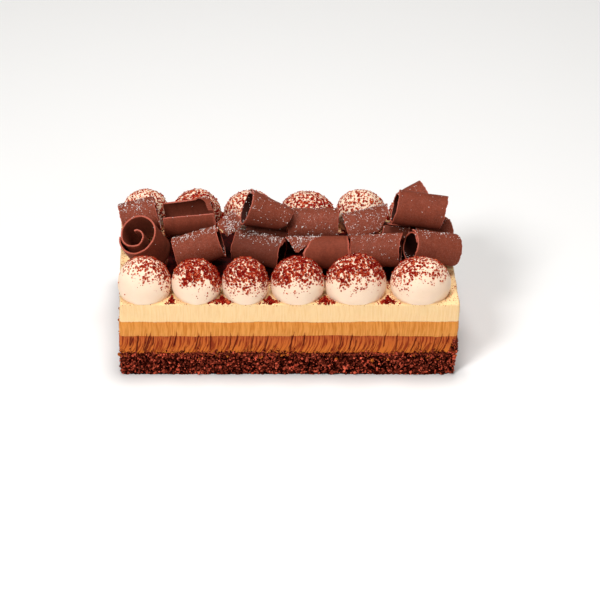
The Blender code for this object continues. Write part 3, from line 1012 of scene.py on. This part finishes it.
def dust_on_top(x, y):
    """How much cocoa lies on the white top: least along its edges, and a thick drift in the trough."""
    edge = DEPTH / 2 - abs(y)
    patches = 0.5 + 0.5 * rough(x, y, 0.0, 7 * MM, 61)
    thin = THINNEST_DUST + PATCHY_DUST * patches * ease(edge, 1.5 * MM, 6 * MM)
    across, along = ease(abs(y), *DRIFT_WIDTH), ease(abs(x), *DRIFT_LENGTH)
    return float(thin + (DRIFT_DEPTH - thin) * (1 - across) * (1 - along))


def white_top(face):
    """The rows of the white top, from its rounded edge inward."""

    def dusted(x, y, z):
        return 0.0, (0.0, 1.0, dust_on_top(x, y))

    rows = []
    for share_up in EDGE_SHARES:
        z = TOP - EDGE_ROUND * (1 - math.sin(math.pi / 2 * share_up))
        rows.append((top_height(z), rounded_edge(face, share_up), 0.0))
    for inset in TOP_INSETS:
        rows.append((top_height(TOP), dusted, inset * MM))
    return rows


def build_mousse(mousse, cracks):
    lower, upper = mousse.seams
    face = cut_face(mousse, cracks)
    foot = seam_line(mousse.low, lower) if lower else ragged_foot
    rows = [(level(mousse.low), hidden(0.0), SEAM_INSET), (foot, face, 0.0)]
    height = mousse.top - mousse.low
    rings = round(height / MOUSSE_ROW)
    # a ragged foot takes the place of the first ring, and a rounded edge of the last
    for ring in range(1 if lower else 2, rings if upper else rings - 1):
        rows.append((level(mousse.low + height * ring / rings), face, 0.0))
    if upper:
        rows += [(seam_line(mousse.top, upper), face, 0.0), (level(mousse.top), hidden(1.0), SEAM_INSET)]
    else:
        rows += white_top(face)
    name = mousse.name + "_cut"
    data = slab_mesh(name, rows, mousse_material(mousse), ("crack", "top", "cocoa"))
    new_piece(name, data, mousse.name, mousse.name)


SMEARS = 150
SMEAR_SIZE = 1.1 * MM
SMEAR_DROP = (0.0, 1.0, 6.0)  # how far under the seam they start, are densest and end, in mm


def build_smears():
    """Small smears of the brown mousse that the knife dragged down onto the sponge's upper edge."""
    draw = np.random.default_rng(17)
    around = outline(GRAIN_STEP)
    places, widths = [], []
    for _ in range(SMEARS):
        spot = random_spot(draw, around)
        z = SPONGE_TOP - draw.triangular(*SMEAR_DROP) * MM
        places.append(on_side(*spot, 0.1 * MM, z))
        widths.append(SMEAR_SIZE * draw.lognormal(0.0, 0.35))
    drop = grain_shape(bmesh.ops.create_icosphere, subdivisions=1, radius=0.5)
    bare = np.zeros(SMEARS)
    scattered("mousse_smears", draw, places, widths, drop, mousse_material(DARK_MOUSSE), "dark_mousse",
              uneven=0.5, smooth=True, marks={"crack": bare, "top": bare, "cocoa": bare})


def build_mousses():
    cracks = make_cracks(np.random.default_rng(103))
    for mousse in (DARK_MOUSSE, MILK_MOUSSE, WHITE_MOUSSE):
        build_mousse(mousse, cracks)
    build_smears()


# ---- the piped domes ----


@dataclass
class Dome:
    """A piped dome, with its size as the solid has it in millimetres, and its dusting of cocoa. Directions
    are (X, Y, Z) from the dome's middle."""

    row: str
    number: int  # from left to right
    middle: float  # its X
    half_width: float
    height: float
    dusted_from: tuple  # the direction that the cocoa came from
    dust_end: float  # how near to it the dusting ends, 1 being only at it
    dust: float  # how thick the dusting is
    tip: tuple = (0, 0, 1)  # where the nozzle left a small lump
    tip_height: float = 0.0

    @property
    def name(self):
        return f"{self.row}_{self.number}"


DOMES = [
    Dome("front", 1, -83.4, 15.7, 23.8, (0.50, 0.35, 0.78), 0.46, 0.66),
    Dome("front", 2, -52.6, 14.5, 21.8, (0.24, 0.20, 0.90), 0.36, 0.90, (0.30, 0.10, 0.95), 0.6),
    Dome("front", 3, -23.7, 13.9, 23.0, (0.05, 0.20, 0.95), 0.22, 0.84, (-0.12, -0.15, 0.98), 0.9),
    Dome("front", 4, 6.8, 16.0, 23.6, (-0.10, 0.22, 0.95), 0.32, 0.84, (-0.52, -0.25, 0.80), 1.1),
    Dome("front", 5, 41.4, 17.9, 25.6, (-0.02, 0.25, 0.95), 0.34, 0.86, (-0.50, -0.10, 0.85), 0.7),
    Dome("front", 6, 79.8, 18.1, 23.2, (-0.26, 0.25, 0.90), 0.42, 0.56, (0.50, -0.20, 0.84), 1.2),
    Dome("back", 1, -86.2, 14.7, 23.0, (0.10, 0.10, 0.95), 0.0, 0.40),
    Dome("back", 2, -55.2, 15.3, 22.6, (0.10, 0.10, 0.95), -0.1, 0.66, (0.15, 0.20, 0.95), 0.8),
    Dome("back", 3, -22.2, 16.2, 22.0, (-0.1, 0.15, 0.95), 0.0, 0.48),
    Dome("back", 4, 13.0, 16.9, 21.2, (0.0, 0.10, 0.95), -0.1, 0.60, (-0.25, 0.10, 0.95), 0.7),
    Dome("back", 5, 46.2, 15.6, 22.6, (0.05, 0.15, 0.95), 0.0, 0.42, (0.35, -0.10, 0.92), 0.7),
    Dome("back", 6, 79.2, 16.0, 21.0, (0.0, 0.15, 0.95), -0.1, 0.55),
]
ROWS = {"front": -36.9 * MM, "back": 35.9 * MM}  # the Y of each row
DOME_WAIST = 6.4 * MM
DOME_DEPTH_RADIUS = 13.4 * MM
DOME_FOOT = -0.4 * MM  # the foot sinks this little way into the top
DOME_SEGMENTS = 96
DOME_RINGS = 56
TIP_WIDTH = 0.26  # as a share of the dome's own
DIMPLE_LAYERS = ((0.10 * MM, 5 * MM, 81), (0.05 * MM, 1.8 * MM, 82))
POWDER_DEPTH, POWDER_SIZE = 0.10 * MM, 0.9 * MM  # how the powder itself goes up and down
DUST_LAYERS = ((0.20, 6.5 * MM, 71), (0.14, 2.4 * MM, 72))  # how raggedly the dusting ends
DUST_STREAKS = 0.16  # and how much it runs down the sides in streaks


def tip_at(dome, unit):
    """How much of the nozzle's lump there is here, from 0 to 1."""
    away = (unit - Vector(dome.tip).normalized()).length
    return math.exp(-(away / TIP_WIDTH) ** 2)


def dusting(dome, unit, x, y, z):
    """The share of the cream that cocoa hides at a point, which lies at unit on the dome's own round."""
    facing = unit.dot(Vector(dome.dusted_from).normalized())
    turn = math.atan2(unit.y, unit.x)
    streak = rough(3.2 * math.cos(turn), 3.2 * math.sin(turn), 0.25 * unit.z + x, 1.0, 73)
    ragged = layered(x, y, z, DUST_LAYERS) + DUST_STREAKS * streak
    return dome.dust * float(ease(facing + ragged, dome.dust_end - 0.50, dome.dust_end + 0.32))


def build_dome(dome):
    """A bulb of cream: a sphere pulled out of round, tilted, and cut below its waist."""
    tilt = 0.03 * math.sin(5.0 * dome.number + ROWS[dome.row] / MM)
    mesh = bmesh.new()
    bmesh.ops.create_uvsphere(mesh, u_segments=DOME_SEGMENTS, v_segments=DOME_RINGS, radius=1.0)
    layer = mesh.verts.layers.float.new("cocoa")
    for vertex in mesh.verts:
        unit = vertex.co.copy()
        turn = math.atan2(unit.y, unit.x)
        oval = 0.012 * math.sin(2 * turn + 7 * dome.middle) + 0.008 * math.sin(3 * turn + 3 * dome.middle)
        z = DOME_WAIST + (dome.height * MM - DOME_WAIST) * unit.z
        x = dome.half_width * MM * (1 + oval) * unit.x + tilt * z + dome.middle * MM
        y = DOME_DEPTH_RADIUS * (1 + oval) * unit.y + ROWS[dome.row]
        tip = tip_at(dome, unit)
        vertex[layer] = dusting(dome, unit, x, y, z) * (1 - 0.45 * tip)
        out = layered(x, y, z, DIMPLE_LAYERS) + tip * dome.tip_height * MM
        out += POWDER_DEPTH * vertex[layer] * rough(x, y, z, POWDER_SIZE, 83)
        vertex.co = Vector((x, y, z + TOP)) + unit * out
    bmesh.ops.bisect_plane(mesh, geom=mesh.verts[:] + mesh.edges[:] + mesh.faces[:],
                           plane_co=(0, 0, TOP + DOME_FOOT), plane_no=(0, 0, -1), clear_outer=True)
    bmesh.ops.contextual_create(mesh, geom=[edge for edge in mesh.edges if edge.is_boundary])
    # the cut leaves points and faces in no fixed order: sorted, the cocoa falls on them alike in each run
    vertices = sorted(mesh.verts, key=lambda vertex: vertex.co[:])
    order = {vertex: number for number, vertex in enumerate(vertices)}
    faces = []
    for face in mesh.faces:
        corners = [order[vertex] for vertex in face.verts]
        first = corners.index(min(corners))
        faces.append(corners[first:] + corners[:first])
    data = mesh_from("piped_" + dome.name, [vertex.co for vertex in vertices], sorted(faces),
                     material("cream_finish", cream_finish))
    store(data, "cocoa", [round(vertex[layer], 4) for vertex in vertices])
    mesh.free()
    data.set_sharp_from_angle(angle=SHARP_EDGE)
    new_piece("piped_" + dome.name, data, "cream", "dome_" + dome.name)


def build_domes():
    for dome in DOMES:
        build_dome(dome)


# ---- the chocolate curls ----


@dataclass
class Curl:
    """A sheet of chocolate rolled round its own X axis, then tipped and turned, in millimetres and degrees.
    Its height is read from the solid that it stands for. A list of corners gives (along, value) wherever a
    value changes its course. along is the share of the way along the sheet, from where the roll starts."""

    name: str
    at: tuple  # the X and Y of the middle of its axis
    start: float  # where round the axis the sheet starts: 0 is to the back, 90 up
    turns: float  # how far it is rolled, below 0 the other way
    radius: list  # corners of the roll's radius
    left: list  # corners of the X of the sheet's left edge
    right: list  # and of its right edge
    sugar: float  # how thickly it is dusted with sugar
    turn: tuple = (0, 0)  # how far its right end is turned to the back, and tipped up
    cone: float = 0.0  # how fast the radius grows along X
    spread: float = 0.1  # how thickly the sugar lies where the curl doesn't face up, as a share
    bloom: float = 0.30  # how much of it the bloom covers
    inside: float = 0.45  # how much painted shade darkens its inner face
    outside: float = 0.0  # and how much painted shade darkens its outer face


CURLS = [
    Curl("curl_low_1", at=(-11.8, 14.5), start=60, turns=1.1, radius=[(0, 8.6), (1, 7.0)],
         left=[(0, -12)], right=[(0, 12.5)], sugar=0.3, outside=0.3),
    Curl("curl_low_2", at=(16.7, 12.5), start=-30, turns=1.15, radius=[(0, 10.4), (1, 8.7)],
         left=[(0, -15.5)], right=[(0, 15.5), (1, 14)], sugar=0.6, spread=0.9),
    Curl("curl_low_3", at=(86.2, 9.5), turn=(20, 0), start=100, turns=1.1, radius=[(0, 9.2), (1, 7.6)],
         left=[(0, -9)], right=[(0, 13)], sugar=0.2, spread=0.4),
    Curl("curl_low_4", at=(65.7, 7.5), turn=(-4, -6), start=100, turns=0.94, radius=[(0, 8.0), (1, 7.4)],
         left=[(0, -8)], right=[(0, 8)], sugar=0.15, bloom=0.1, outside=0.45),
    Curl("curl_front_1", at=(-51.8, -11), turn=(6, 16), start=60, turns=1.1, radius=[(0, 9.9), (1, 8.3)],
         left=[(0, -14.3)], right=[(0, 13.5), (1, 14.5)], sugar=0.8, spread=0.03, inside=0.85),
    Curl("curl_front_2", at=(-16.2, -7.5), turn=(-18, -2), start=50, turns=1.15,
         radius=[(0, 9.6), (1, 7.9)], left=[(0, -14.5)], right=[(0, 14.5), (1, 15)],
         sugar=1.1, spread=0.05, inside=0.85, outside=0.38),
    Curl("curl_front_3", at=(24.0, -12.5), turn=(6, -3), start=-76, turns=0.96, radius=[(0, 9.9), (1, 9.2)],
         left=[(0, 3), (0.34, 1), (0.52, -11), (0.64, -15), (1, -13)], right=[(0, 13)],
         sugar=0.0, bloom=0.06),
    Curl("curl_front_4", at=(55.2, -12.5), turn=(-8, 9), start=80, turns=1.15, radius=[(0, 10.4), (1, 8.7)],
         left=[(0, -15)], right=[(0, 16), (0.4, 12), (1, 14)], sugar=0.7, spread=0.35, inside=0.85),
    Curl("curl_front_5", at=(87.5, -12), turn=(18, -19), start=60, turns=1.2, radius=[(0, 9.6), (1, 7.9)],
         left=[(0, -15)], right=[(0, 15)], sugar=0.35, spread=0.05, inside=0.92),
    Curl("flake_front", at=(11.8, -6.5), start=74, turns=0.17, radius=[(0, 12.0)],
         left=[(0, -12.5), (0.5, -9), (1, -6)], right=[(0, 12.5), (0.5, 3), (1, -4)],
         sugar=0.4, spread=0.8),
    Curl("curl_scroll", at=(-84.6, -11), turn=(49, -58), start=-28, turns=-1.85,
         radius=[(0, 11.8), (0.4, 11.6), (0.54, 10.3), (0.68, 6.8), (0.81, 3.4), (1, 2.1)],
         left=[(0, -9.5), (0.13, -9), (0.41, -13), (0.69, -9.5), (0.97, -12.5)], right=[(0, 12)],
         sugar=0.05, bloom=0.1, inside=0.15),
    Curl("curl_back_1", at=(-86.8, 14.5), turn=(8, 11), start=20, turns=1.08, radius=[(0, 10.8), (1, 9.2)],
         left=[(0, -12.5)], right=[(0, 9.5)], sugar=0.9, spread=0.3),
    Curl("curl_back_2", at=(-58.8, 14), turn=(3, 4), start=144, turns=0.97, radius=[(0, 11.0), (1, 10.4)],
         left=[(0, -15), (0.69, -15), (0.71, 5), (0.79, 7), (0.91, 11), (1, 12.5)],
         right=[(0, 15.5), (0.6, 15.5), (0.72, 12.5), (0.8, 12.5), (1, 15.5)],
         sugar=0.2, bloom=0.1, inside=0.3),
    Curl("flake_left", at=(-30.5, 14), turn=(25, 30), start=95, turns=0.13, radius=[(0, 14.0)],
         left=[(0, -7)], right=[(0, 6)], sugar=0.45, spread=0.8),
    Curl("curl_top_1", at=(-13, 4), turn=(3, -22), start=40, turns=1.1, radius=[(0, 9.2), (1, 7.6)],
         cone=-0.16, left=[(0, -11.5)], right=[(0, 17.5), (0.3, 15), (0.6, 7), (1, 8)],
         sugar=0.35, spread=0.6, inside=0.9),
    Curl("curl_top_2", at=(50.7, 14), turn=(8, 11), start=49, turns=0.306, radius=[(0, 12.0)],
         left=[(0, -14.5), (1, -14)], right=[(0, 14), (0.6, 13), (1, 5)], sugar=0.5, spread=0.9),
    Curl("curl_top_3", at=(79.7, 5), turn=(0, -9), start=30, turns=1.15, radius=[(0, 10.3), (1, 8.6)],
         left=[(0, -13), (0.5, -16), (1, -14)], right=[(0, 17), (0.5, 13), (1, 14)],
         sugar=0.06, spread=0.6, bloom=0.2, inside=0.9),
    Curl("flake_back", at=(79.3, 36), turn=(20, 22), start=54, turns=0.3, radius=[(0, 11.0)],
         left=[(0, -6)], right=[(0, 9)], sugar=0.03),
]
CURL_STEP = 0.7 * MM  # between the points along the sheet
CURL_STATIONS = 22  # across it
RIM = 0.40 * MM  # how far the cut edge and its painted highlight reach round onto the sheet's faces
RIM_SHARE = 0.62  # how thick the sheet still is at its very edge
CORNER_EASE = 0.035  # how far along the sheet the corners of its radius are rounded off
LEAST_STEPS = 16  # along a short flake
LEAST_WIDTH = 8 * MM  # of a sheet, where its strip for the cut edge is worked out
JAG = 0.22 * MM  # how ragged its edges are
JAG_SIZE = 1.6 * MM  # between the jags of its two ends
JAG_REACH = 2 * MM  # how far in from an end they are felt
JAG_LAYERS = ((JAG, 1.3 * MM, 0), (1.3 * JAG, 5 * MM, 1))
WOBBLE_LAYERS = ((0.16 * MM, 9 * MM, 5), (0.064 * MM, 3 * MM, 6))  # how far it is out of true
SCRAPE_LAYERS = ((1.0, 0.8 * MM, 7), (0.6, 2.6 * MM, 8))
SCRAPE_STRETCH = 0.05  # how fast a scrape line changes along the sheet
SUGAR_LAYERS = ((0.4, 5 * MM, 91), (0.5, 1.6 * MM, 92))
SUGAR_COVER = 0.22  # the share of a face that the finest sugar hides where it lies thickly
FIRST_CURL_SEED, SEEDS_FOR_CURL = 200, 10


def seeded(layers, seed):
    """The same layers of noise with their seeds counted on from this one."""
    return [(share, size, seed + own) for share, size, own in layers]


def sheet_shares(count, long_way):
    """Shares of the way over the sheet, with a narrow strip at each end for the cut edge."""
    strip = RIM / long_way
    inner = [strip + (1 - 2 * strip) * step / count for step in range(count + 1)]
    return [0.0, *inner, 1.0]


def at_corners(corners, along):
    """The value that a list of corners has here, in metres."""
    return np.interp(along, *zip(*corners)) * MM


def curl_surface(curl, seed):
    """The sheet's middle surface as rows of (point, outward direction, scrape) in the curl's own space."""
    mean_radius = np.mean([radius for _, radius in curl.radius]) * MM
    sheet_length = abs(curl.turns) * 2 * math.pi * mean_radius
    sheet_width = max((curl.right[0][1] - curl.left[0][1]) * MM, LEAST_WIDTH)
    steps = max(LEAST_STEPS, round(sheet_length / CURL_STEP))
    rows = []
    for along in sheet_shares(steps, sheet_length):
        run = along * sheet_length
        left = at_corners(curl.left, along) + layered(run, 0.0, 0.0, seeded(JAG_LAYERS, seed))
        right = at_corners(curl.right, along) + layered(run, 0.0, 0.0, seeded(JAG_LAYERS, seed + 2))
        rolled = float(at_corners(curl.radius, along + np.linspace(-CORNER_EASE, CORNER_EASE, 7)).mean())
        near_end = 1 - ease(min(along, 1 - along) * sheet_length, 0.0, JAG_REACH)
        row = []
        for across in sheet_shares(CURL_STATIONS, sheet_width):
            x = left + (right - left) * across
            radius = float(rolled + curl.cone * x + layered(x, run, 0.0, seeded(WOBBLE_LAYERS, seed)))
            jag = JAG * rough(x, 0.0, 0.0, JAG_SIZE, seed + 4) * near_end
            angle = math.radians(curl.start + 360 * curl.turns * along) + jag / max(radius, 2 * MM)
            outward = Vector((0.0, math.cos(angle), math.sin(angle)))
            scrape = layered(x, run * SCRAPE_STRETCH, 0.0, seeded(SCRAPE_LAYERS, seed))
            row.append((Vector((x, 0.0, 0.0)) + radius * outward, outward, scrape))
        rows.append(row)
    return rows


def curl_mesh(curl, seed):
    """The rolled sheet with its thickness: an outer and an inner skin, and the cut edge that joins them."""
    rows = curl_surface(curl, seed)
    tall, wide = len(rows), len(rows[0])
    points, scrapes, lining = [], [], []
    # each skin carries the painted shade that its curl gives that face
    for side, darkness in ((1, curl.outside), (-1, curl.inside)):
        for i, row in enumerate(rows):
            for j, (point, outward, scrape) in enumerate(row):
                at_edge = i in (0, tall - 1) or j in (0, wide - 1)
                out = side * sizes().sheet / 2 * (RIM_SHARE if at_edge else 1.0)
                points.append(point + outward * out)
                scrapes.append(scrape)
                lining.append(darkness)
    inner = tall * wide
    faces, edge_faces = [], []
    for i in range(tall - 1):
        for j in range(wide - 1):
            a, b, c, d = i * wide + j, i * wide + j + 1, (i + 1) * wide + j + 1, (i + 1) * wide + j
            kind = edge_faces if i in (0, tall - 2) or j in (0, wide - 2) else faces
            kind += [(a, b, c, d), (inner + d, inner + c, inner + b, inner + a)]
    border = [*range(wide)] + [(i + 1) * wide - 1 for i in range(1, tall)]
    border += [(tall - 1) * wide + j for j in range(wide - 2, -1, -1)]
    border += [i * wide for i in range(tall - 2, 0, -1)]
    for a, b in zip(border, border[1:] + border[:1]):
        edge_faces.append((b, a, inner + a, inner + b))
    all_faces = faces + edge_faces
    if curl.turns > 0:
        all_faces = [tuple(reversed(face)) for face in all_faces]
    data = mesh_from("rolled_" + curl.name, points, all_faces,
                     material("chocolate_finish", chocolate_finish),
                     material("cut_edge_finish", cut_edge_finish))
    data.polygons.foreach_set("material_index", [0] * len(faces) + [1] * len(edge_faces))
    store(data, "scrape", scrapes)
    store(data, "lining", lining)
    return data


def place_like_solid(data, curl):
    """Turns and moves the mesh to where its solid is."""
    yaw, pitch = curl.turn
    turned = Euler((0, -math.radians(pitch), math.radians(yaw))).to_matrix().to_4x4()
    data.transform(Matrix.Translation((curl.at[0] * MM, curl.at[1] * MM, 0.0)) @ turned)
    low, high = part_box(curl.name)
    heights = [vertex.co.z for vertex in data.vertices]
    rise = (low.z + high.z) / 2 - (min(heights) + max(heights)) / 2
    for vertex in data.vertices:
        vertex.co.z += rise
    data.update()


def sugar_at(curl, place, normal):
    """How thickly sugar lies here: in drifts, and most on what faces up, or all over where spread is 1."""
    drift = max(0.0, 0.5 + layered(*place, SUGAR_LAYERS))
    upward = float(ease(normal.z, 0.78, 1.0))
    spread = curl.spread if normal.z > -0.2 else 0.0
    return curl.sugar * drift * (spread + (1 - spread) * upward)


def build_curls():
    for order, curl in enumerate(CURLS):
        data = curl_mesh(curl, FIRST_CURL_SEED + SEEDS_FOR_CURL * order)
        place_like_solid(data, curl)
        dust = [SUGAR_COVER * sugar_at(curl, vertex.co, vertex.normal) for vertex in data.vertices]
        store(data, "sugar", dust)
        store(data, "bloom", [curl.bloom] * len(data.vertices))
        new_piece("rolled_" + curl.name, data, "chocolate", curl.name)


# ---- the cocoa and the sugar ----


CLUMPS_BY_DUST = 1.25  # times its dusting, how many of an even share of the clumps a dome has
BARE_CLUMPS = 0.002  # how likely a clump is where there is no dusting
HEAP_CLUMPS = 260  # between two domes
HEAP_REACH = (3.0, 9.0, 12.4)  # how far out from its row's middle a heap starts, is densest and ends, in mm
HEAP_CLUMP_SIZE = 1.25  # as a share of a middling one
HEAP_WIDTHS = (0.6, 1.2, 1.0, 1.1, 0.95)  # of the heaps between the domes from left to right, as shares


def dusting_at(dome, point):
    """The dusting at a point of the dome's mesh, and none under its waist."""
    middle = (dome.middle * MM, ROWS[dome.row], TOP + DOME_WAIST)
    reach = (dome.half_width * MM, DOME_DEPTH_RADIUS, dome.height * MM - DOME_WAIST)
    unit = Vector([(point[i] - middle[i]) / reach[i] for i in range(3)])
    return 0.0 if unit.z < -0.3 else dusting(dome, unit, point[0], point[1], point[2] - TOP)


def cocoa_heaps(draw):
    """Cocoa that fell between the domes' feet onto the white top, as small ragged triangles: where it lies,
    and how thick it is there."""
    places, thick = [], []
    for row, toward in (("front", -1), ("back", 1)):
        domes = [dome for dome in DOMES if dome.row == row]
        for one, other, wide in zip(domes, domes[1:], HEAP_WIDTHS):
            middle = (one.middle + one.half_width + other.middle - other.half_width) / 2 * MM
            for _ in range(round(HEAP_CLUMPS * wide)):
                out = draw.triangular(*HEAP_REACH) * MM
                spread = wide * (0.4 * MM + 0.75 * max(0.0, out - 5 * MM))
                aside = draw.normal(0.0, 0.62)
                places.append((middle + aside * spread, ROWS[row] + toward * out, TOP + 0.02 * MM))
                thick.append(max(0.15, 1.3 - 0.8 * abs(aside)) + 0.35)
    return np.array(places), np.array(thick)


def build_cocoa():
    draw = np.random.default_rng(21)
    places, widths, thick = [], [], []
    for dome in DOMES:
        count = round(sizes().cocoa_clumps / len(DOMES) * dome.dust * CLUMPS_BY_DUST)
        spots, normals = sprinkle(bpy.data.objects["piped_" + dome.name], draw, count,
                                  lambda point, normal: BARE_CLUMPS + dusting_at(dome, point) ** 1.2)
        width = sizes().cocoa * draw.lognormal(0.0, 0.35, size=count)
        places.append(spots + normals * (width * 0.05)[:, None])
        widths.append(width)
        thick.append([dusting_at(dome, spot) for spot in spots])
    heaps, heaped = cocoa_heaps(draw)
    places.append(heaps)
    widths.append(sizes().cocoa * HEAP_CLUMP_SIZE * draw.lognormal(0.0, 0.35, size=len(heaps)))
    thick.append(heaped)
    scattered("cocoa_powder", draw, np.vstack(places), np.concatenate(widths), CHIP,
              material("cocoa_powder", cocoa_clump_finish), "cream", uneven=0.4,
              marks={"cocoa": np.concatenate(thick)})


def build_sugar():
    draw = np.random.default_rng(31)
    places, widths = [], []
    total = sum(curl.sugar for curl in CURLS)
    for curl in CURLS:
        count = round(sizes().sugar_grains * curl.sugar / total)
        if count == 0:
            continue
        spots, normals = sprinkle(bpy.data.objects["rolled_" + curl.name], draw, count,
                                  lambda point, normal: sugar_at(curl, point, normal) ** 1.6)
        width = sizes().sugar * draw.lognormal(0.0, 0.3, size=count)
        places.append(spots + normals * (width * 0.25)[:, None])
        widths.append(width)
    grain = grain_shape(bmesh.ops.create_cube, size=0.75)
    scattered("sugar_grains", draw, np.vstack(places), np.concatenate(widths), grain,
              material("sugar_grains", sugar_finish), "chocolate", uneven=0.3)


# ---- the studio ----


CAMERA_PLACE = (0.008494, -1.237425, 0.918832)
CAMERA_TILT = math.radians(54)  # from straight down
CAMERA_LENS = 150.0
CAMERA_SENSOR = 36.0
FLOOR_RADIUS = 6.0
# (name, place, size across, power in watts) of each soft lamp
LAMPS = [
    ("key_lamp", (-0.55, -0.80, 1.00), 0.40, 12.2),
    ("top_lamp", (0.05, 0.10, 1.30), 0.50, 11.6),
    ("fill_lamp", (0.90, -0.80, 0.45), 0.60, 2.0),
]
LIT_PLACE = (0, 0, 0.04)  # what the lamps are turned to
SKY = (1.0, 0.93, 0.84)
SKY_STRENGTH = 0.10


def build_floor():
    mesh = bmesh.new()
    bmesh.ops.create_circle(mesh, cap_ends=True, segments=96, radius=FLOOR_RADIUS)
    data = bpy.data.meshes.new("floor")
    mesh.to_mesh(data)
    mesh.free()
    data.materials.append(material("floor_finish", floor_finish))
    floor = linked("floor", data)


def build_lamps():
    for name, place, across, power in LAMPS:
        lamp = bpy.data.lights.new(name, "AREA")
        lamp.shape = "DISK"
        lamp.size = across
        lamp.energy = power
        obj = linked(name, lamp)
        obj.location = place
        obj.rotation_euler = (Vector(place) - Vector(LIT_PLACE)).to_track_quat("Z", "Y").to_euler()
    world = bpy.data.worlds.new("studio")
    world.use_nodes = True
    sky = world.node_tree.nodes["Background"]
    sky.inputs["Color"].default_value = (*SKY, 1.0)
    sky.inputs["Strength"].default_value = SKY_STRENGTH
    bpy.context.scene.world = world
    bpy.context.scene.view_settings.view_transform = "Standard"


def build_camera():
    camera = linked("camera", bpy.data.cameras.new("camera"))
    camera.location = CAMERA_PLACE
    camera.rotation_euler = (CAMERA_TILT, 0, 0)
    camera.data.lens = CAMERA_LENS
    camera.data.sensor_width = CAMERA_SENSOR
    bpy.context.scene.camera = camera


# ---- the add-on ----


class CAKE_OT_stage(bpy.types.Operator):
    """Make the floor, the lamps and the camera"""

    bl_idname = "cake.stage"
    bl_label = "Studio"

    def execute(self, context):
        build_floor()
        build_lamps()
        build_camera()
        return {"FINISHED"}


class CAKE_OT_sponge(bpy.types.Operator):
    """Make the sponge's crumbly cut sides"""

    bl_idname = "cake.sponge"
    bl_label = "Sponge"

    def execute(self, context):
        build_sponge()
        return {"FINISHED"}


class CAKE_OT_crumbs(bpy.types.Operator):
    """Stick crumbs to the sponge, and in small spikes up over the brown mousse"""

    bl_idname = "cake.crumbs"
    bl_label = "Crumbs"

    def execute(self, context):
        build_crumbs()
        return {"FINISHED"}


class CAKE_OT_mousses(bpy.types.Operator):
    """Make the three mousses with their streaks, cracks and smears"""

    bl_idname = "cake.mousses"
    bl_label = "Mousses"

    def execute(self, context):
        build_mousses()
        return {"FINISHED"}


class CAKE_OT_domes(bpy.types.Operator):
    """Pipe the cream domes"""

    bl_idname = "cake.domes"
    bl_label = "Cream Domes"

    def execute(self, context):
        build_domes()
        return {"FINISHED"}


class CAKE_OT_curls(bpy.types.Operator):
    """Roll the chocolate curls"""

    bl_idname = "cake.curls"
    bl_label = "Chocolate Curls"

    def execute(self, context):
        build_curls()
        return {"FINISHED"}


class CAKE_OT_cocoa(bpy.types.Operator):
    """Dust the domes with cocoa, once they are piped"""

    bl_idname = "cake.cocoa"
    bl_label = "Cocoa"

    def execute(self, context):
        build_cocoa()
        return {"FINISHED"}


class CAKE_OT_sugar(bpy.types.Operator):
    """Sprinkle sugar over the curls, once they are rolled"""

    bl_idname = "cake.sugar"
    bl_label = "Sugar"

    def execute(self, context):
        build_sugar()
        return {"FINISHED"}


OPERATORS = [
    CAKE_OT_stage,
    CAKE_OT_sponge,
    CAKE_OT_crumbs,
    CAKE_OT_mousses,
    CAKE_OT_domes,
    CAKE_OT_curls,
    CAKE_OT_cocoa,
    CAKE_OT_sugar,
]


class CAKE_PT_panel(bpy.types.Panel):
    """Lists the cake's pieces and what can be changed about them."""

    bl_label = "Chocolate Mousse Cake"
    bl_idname = "CAKE_PT_panel"
    bl_space_type = "VIEW_3D"
    bl_region_type = "UI"
    bl_category = "Cake"

    def draw(self, context):
        for group in (context.scene.cake_sizes, context.scene.cake_colours):
            box = self.layout.box()
            for name in group.__annotations__:
                box.prop(group, name)
        for kind in OPERATORS:
            self.layout.operator(kind.bl_idname)


CLASSES = [CakeSizes, CakeColours, *OPERATORS, CAKE_PT_panel]


def register():
    for kind in CLASSES:
        bpy.utils.register_class(kind)
    bpy.types.Scene.cake_sizes = PointerProperty(type=CakeSizes)
    bpy.types.Scene.cake_colours = PointerProperty(type=CakeColours)


def unregister():
    del bpy.types.Scene.cake_sizes
    del bpy.types.Scene.cake_colours
    for kind in reversed(CLASSES):
        bpy.utils.unregister_class(kind)


def main():
    register()
    bpy.ops.cake.stage()
    bpy.ops.cake.sponge()
    bpy.ops.cake.crumbs()
    bpy.ops.cake.mousses()
    bpy.ops.cake.domes()
    bpy.ops.cake.curls()
    bpy.ops.cake.cocoa()
    bpy.ops.cake.sugar()


if __name__ == "__main__":
    main()
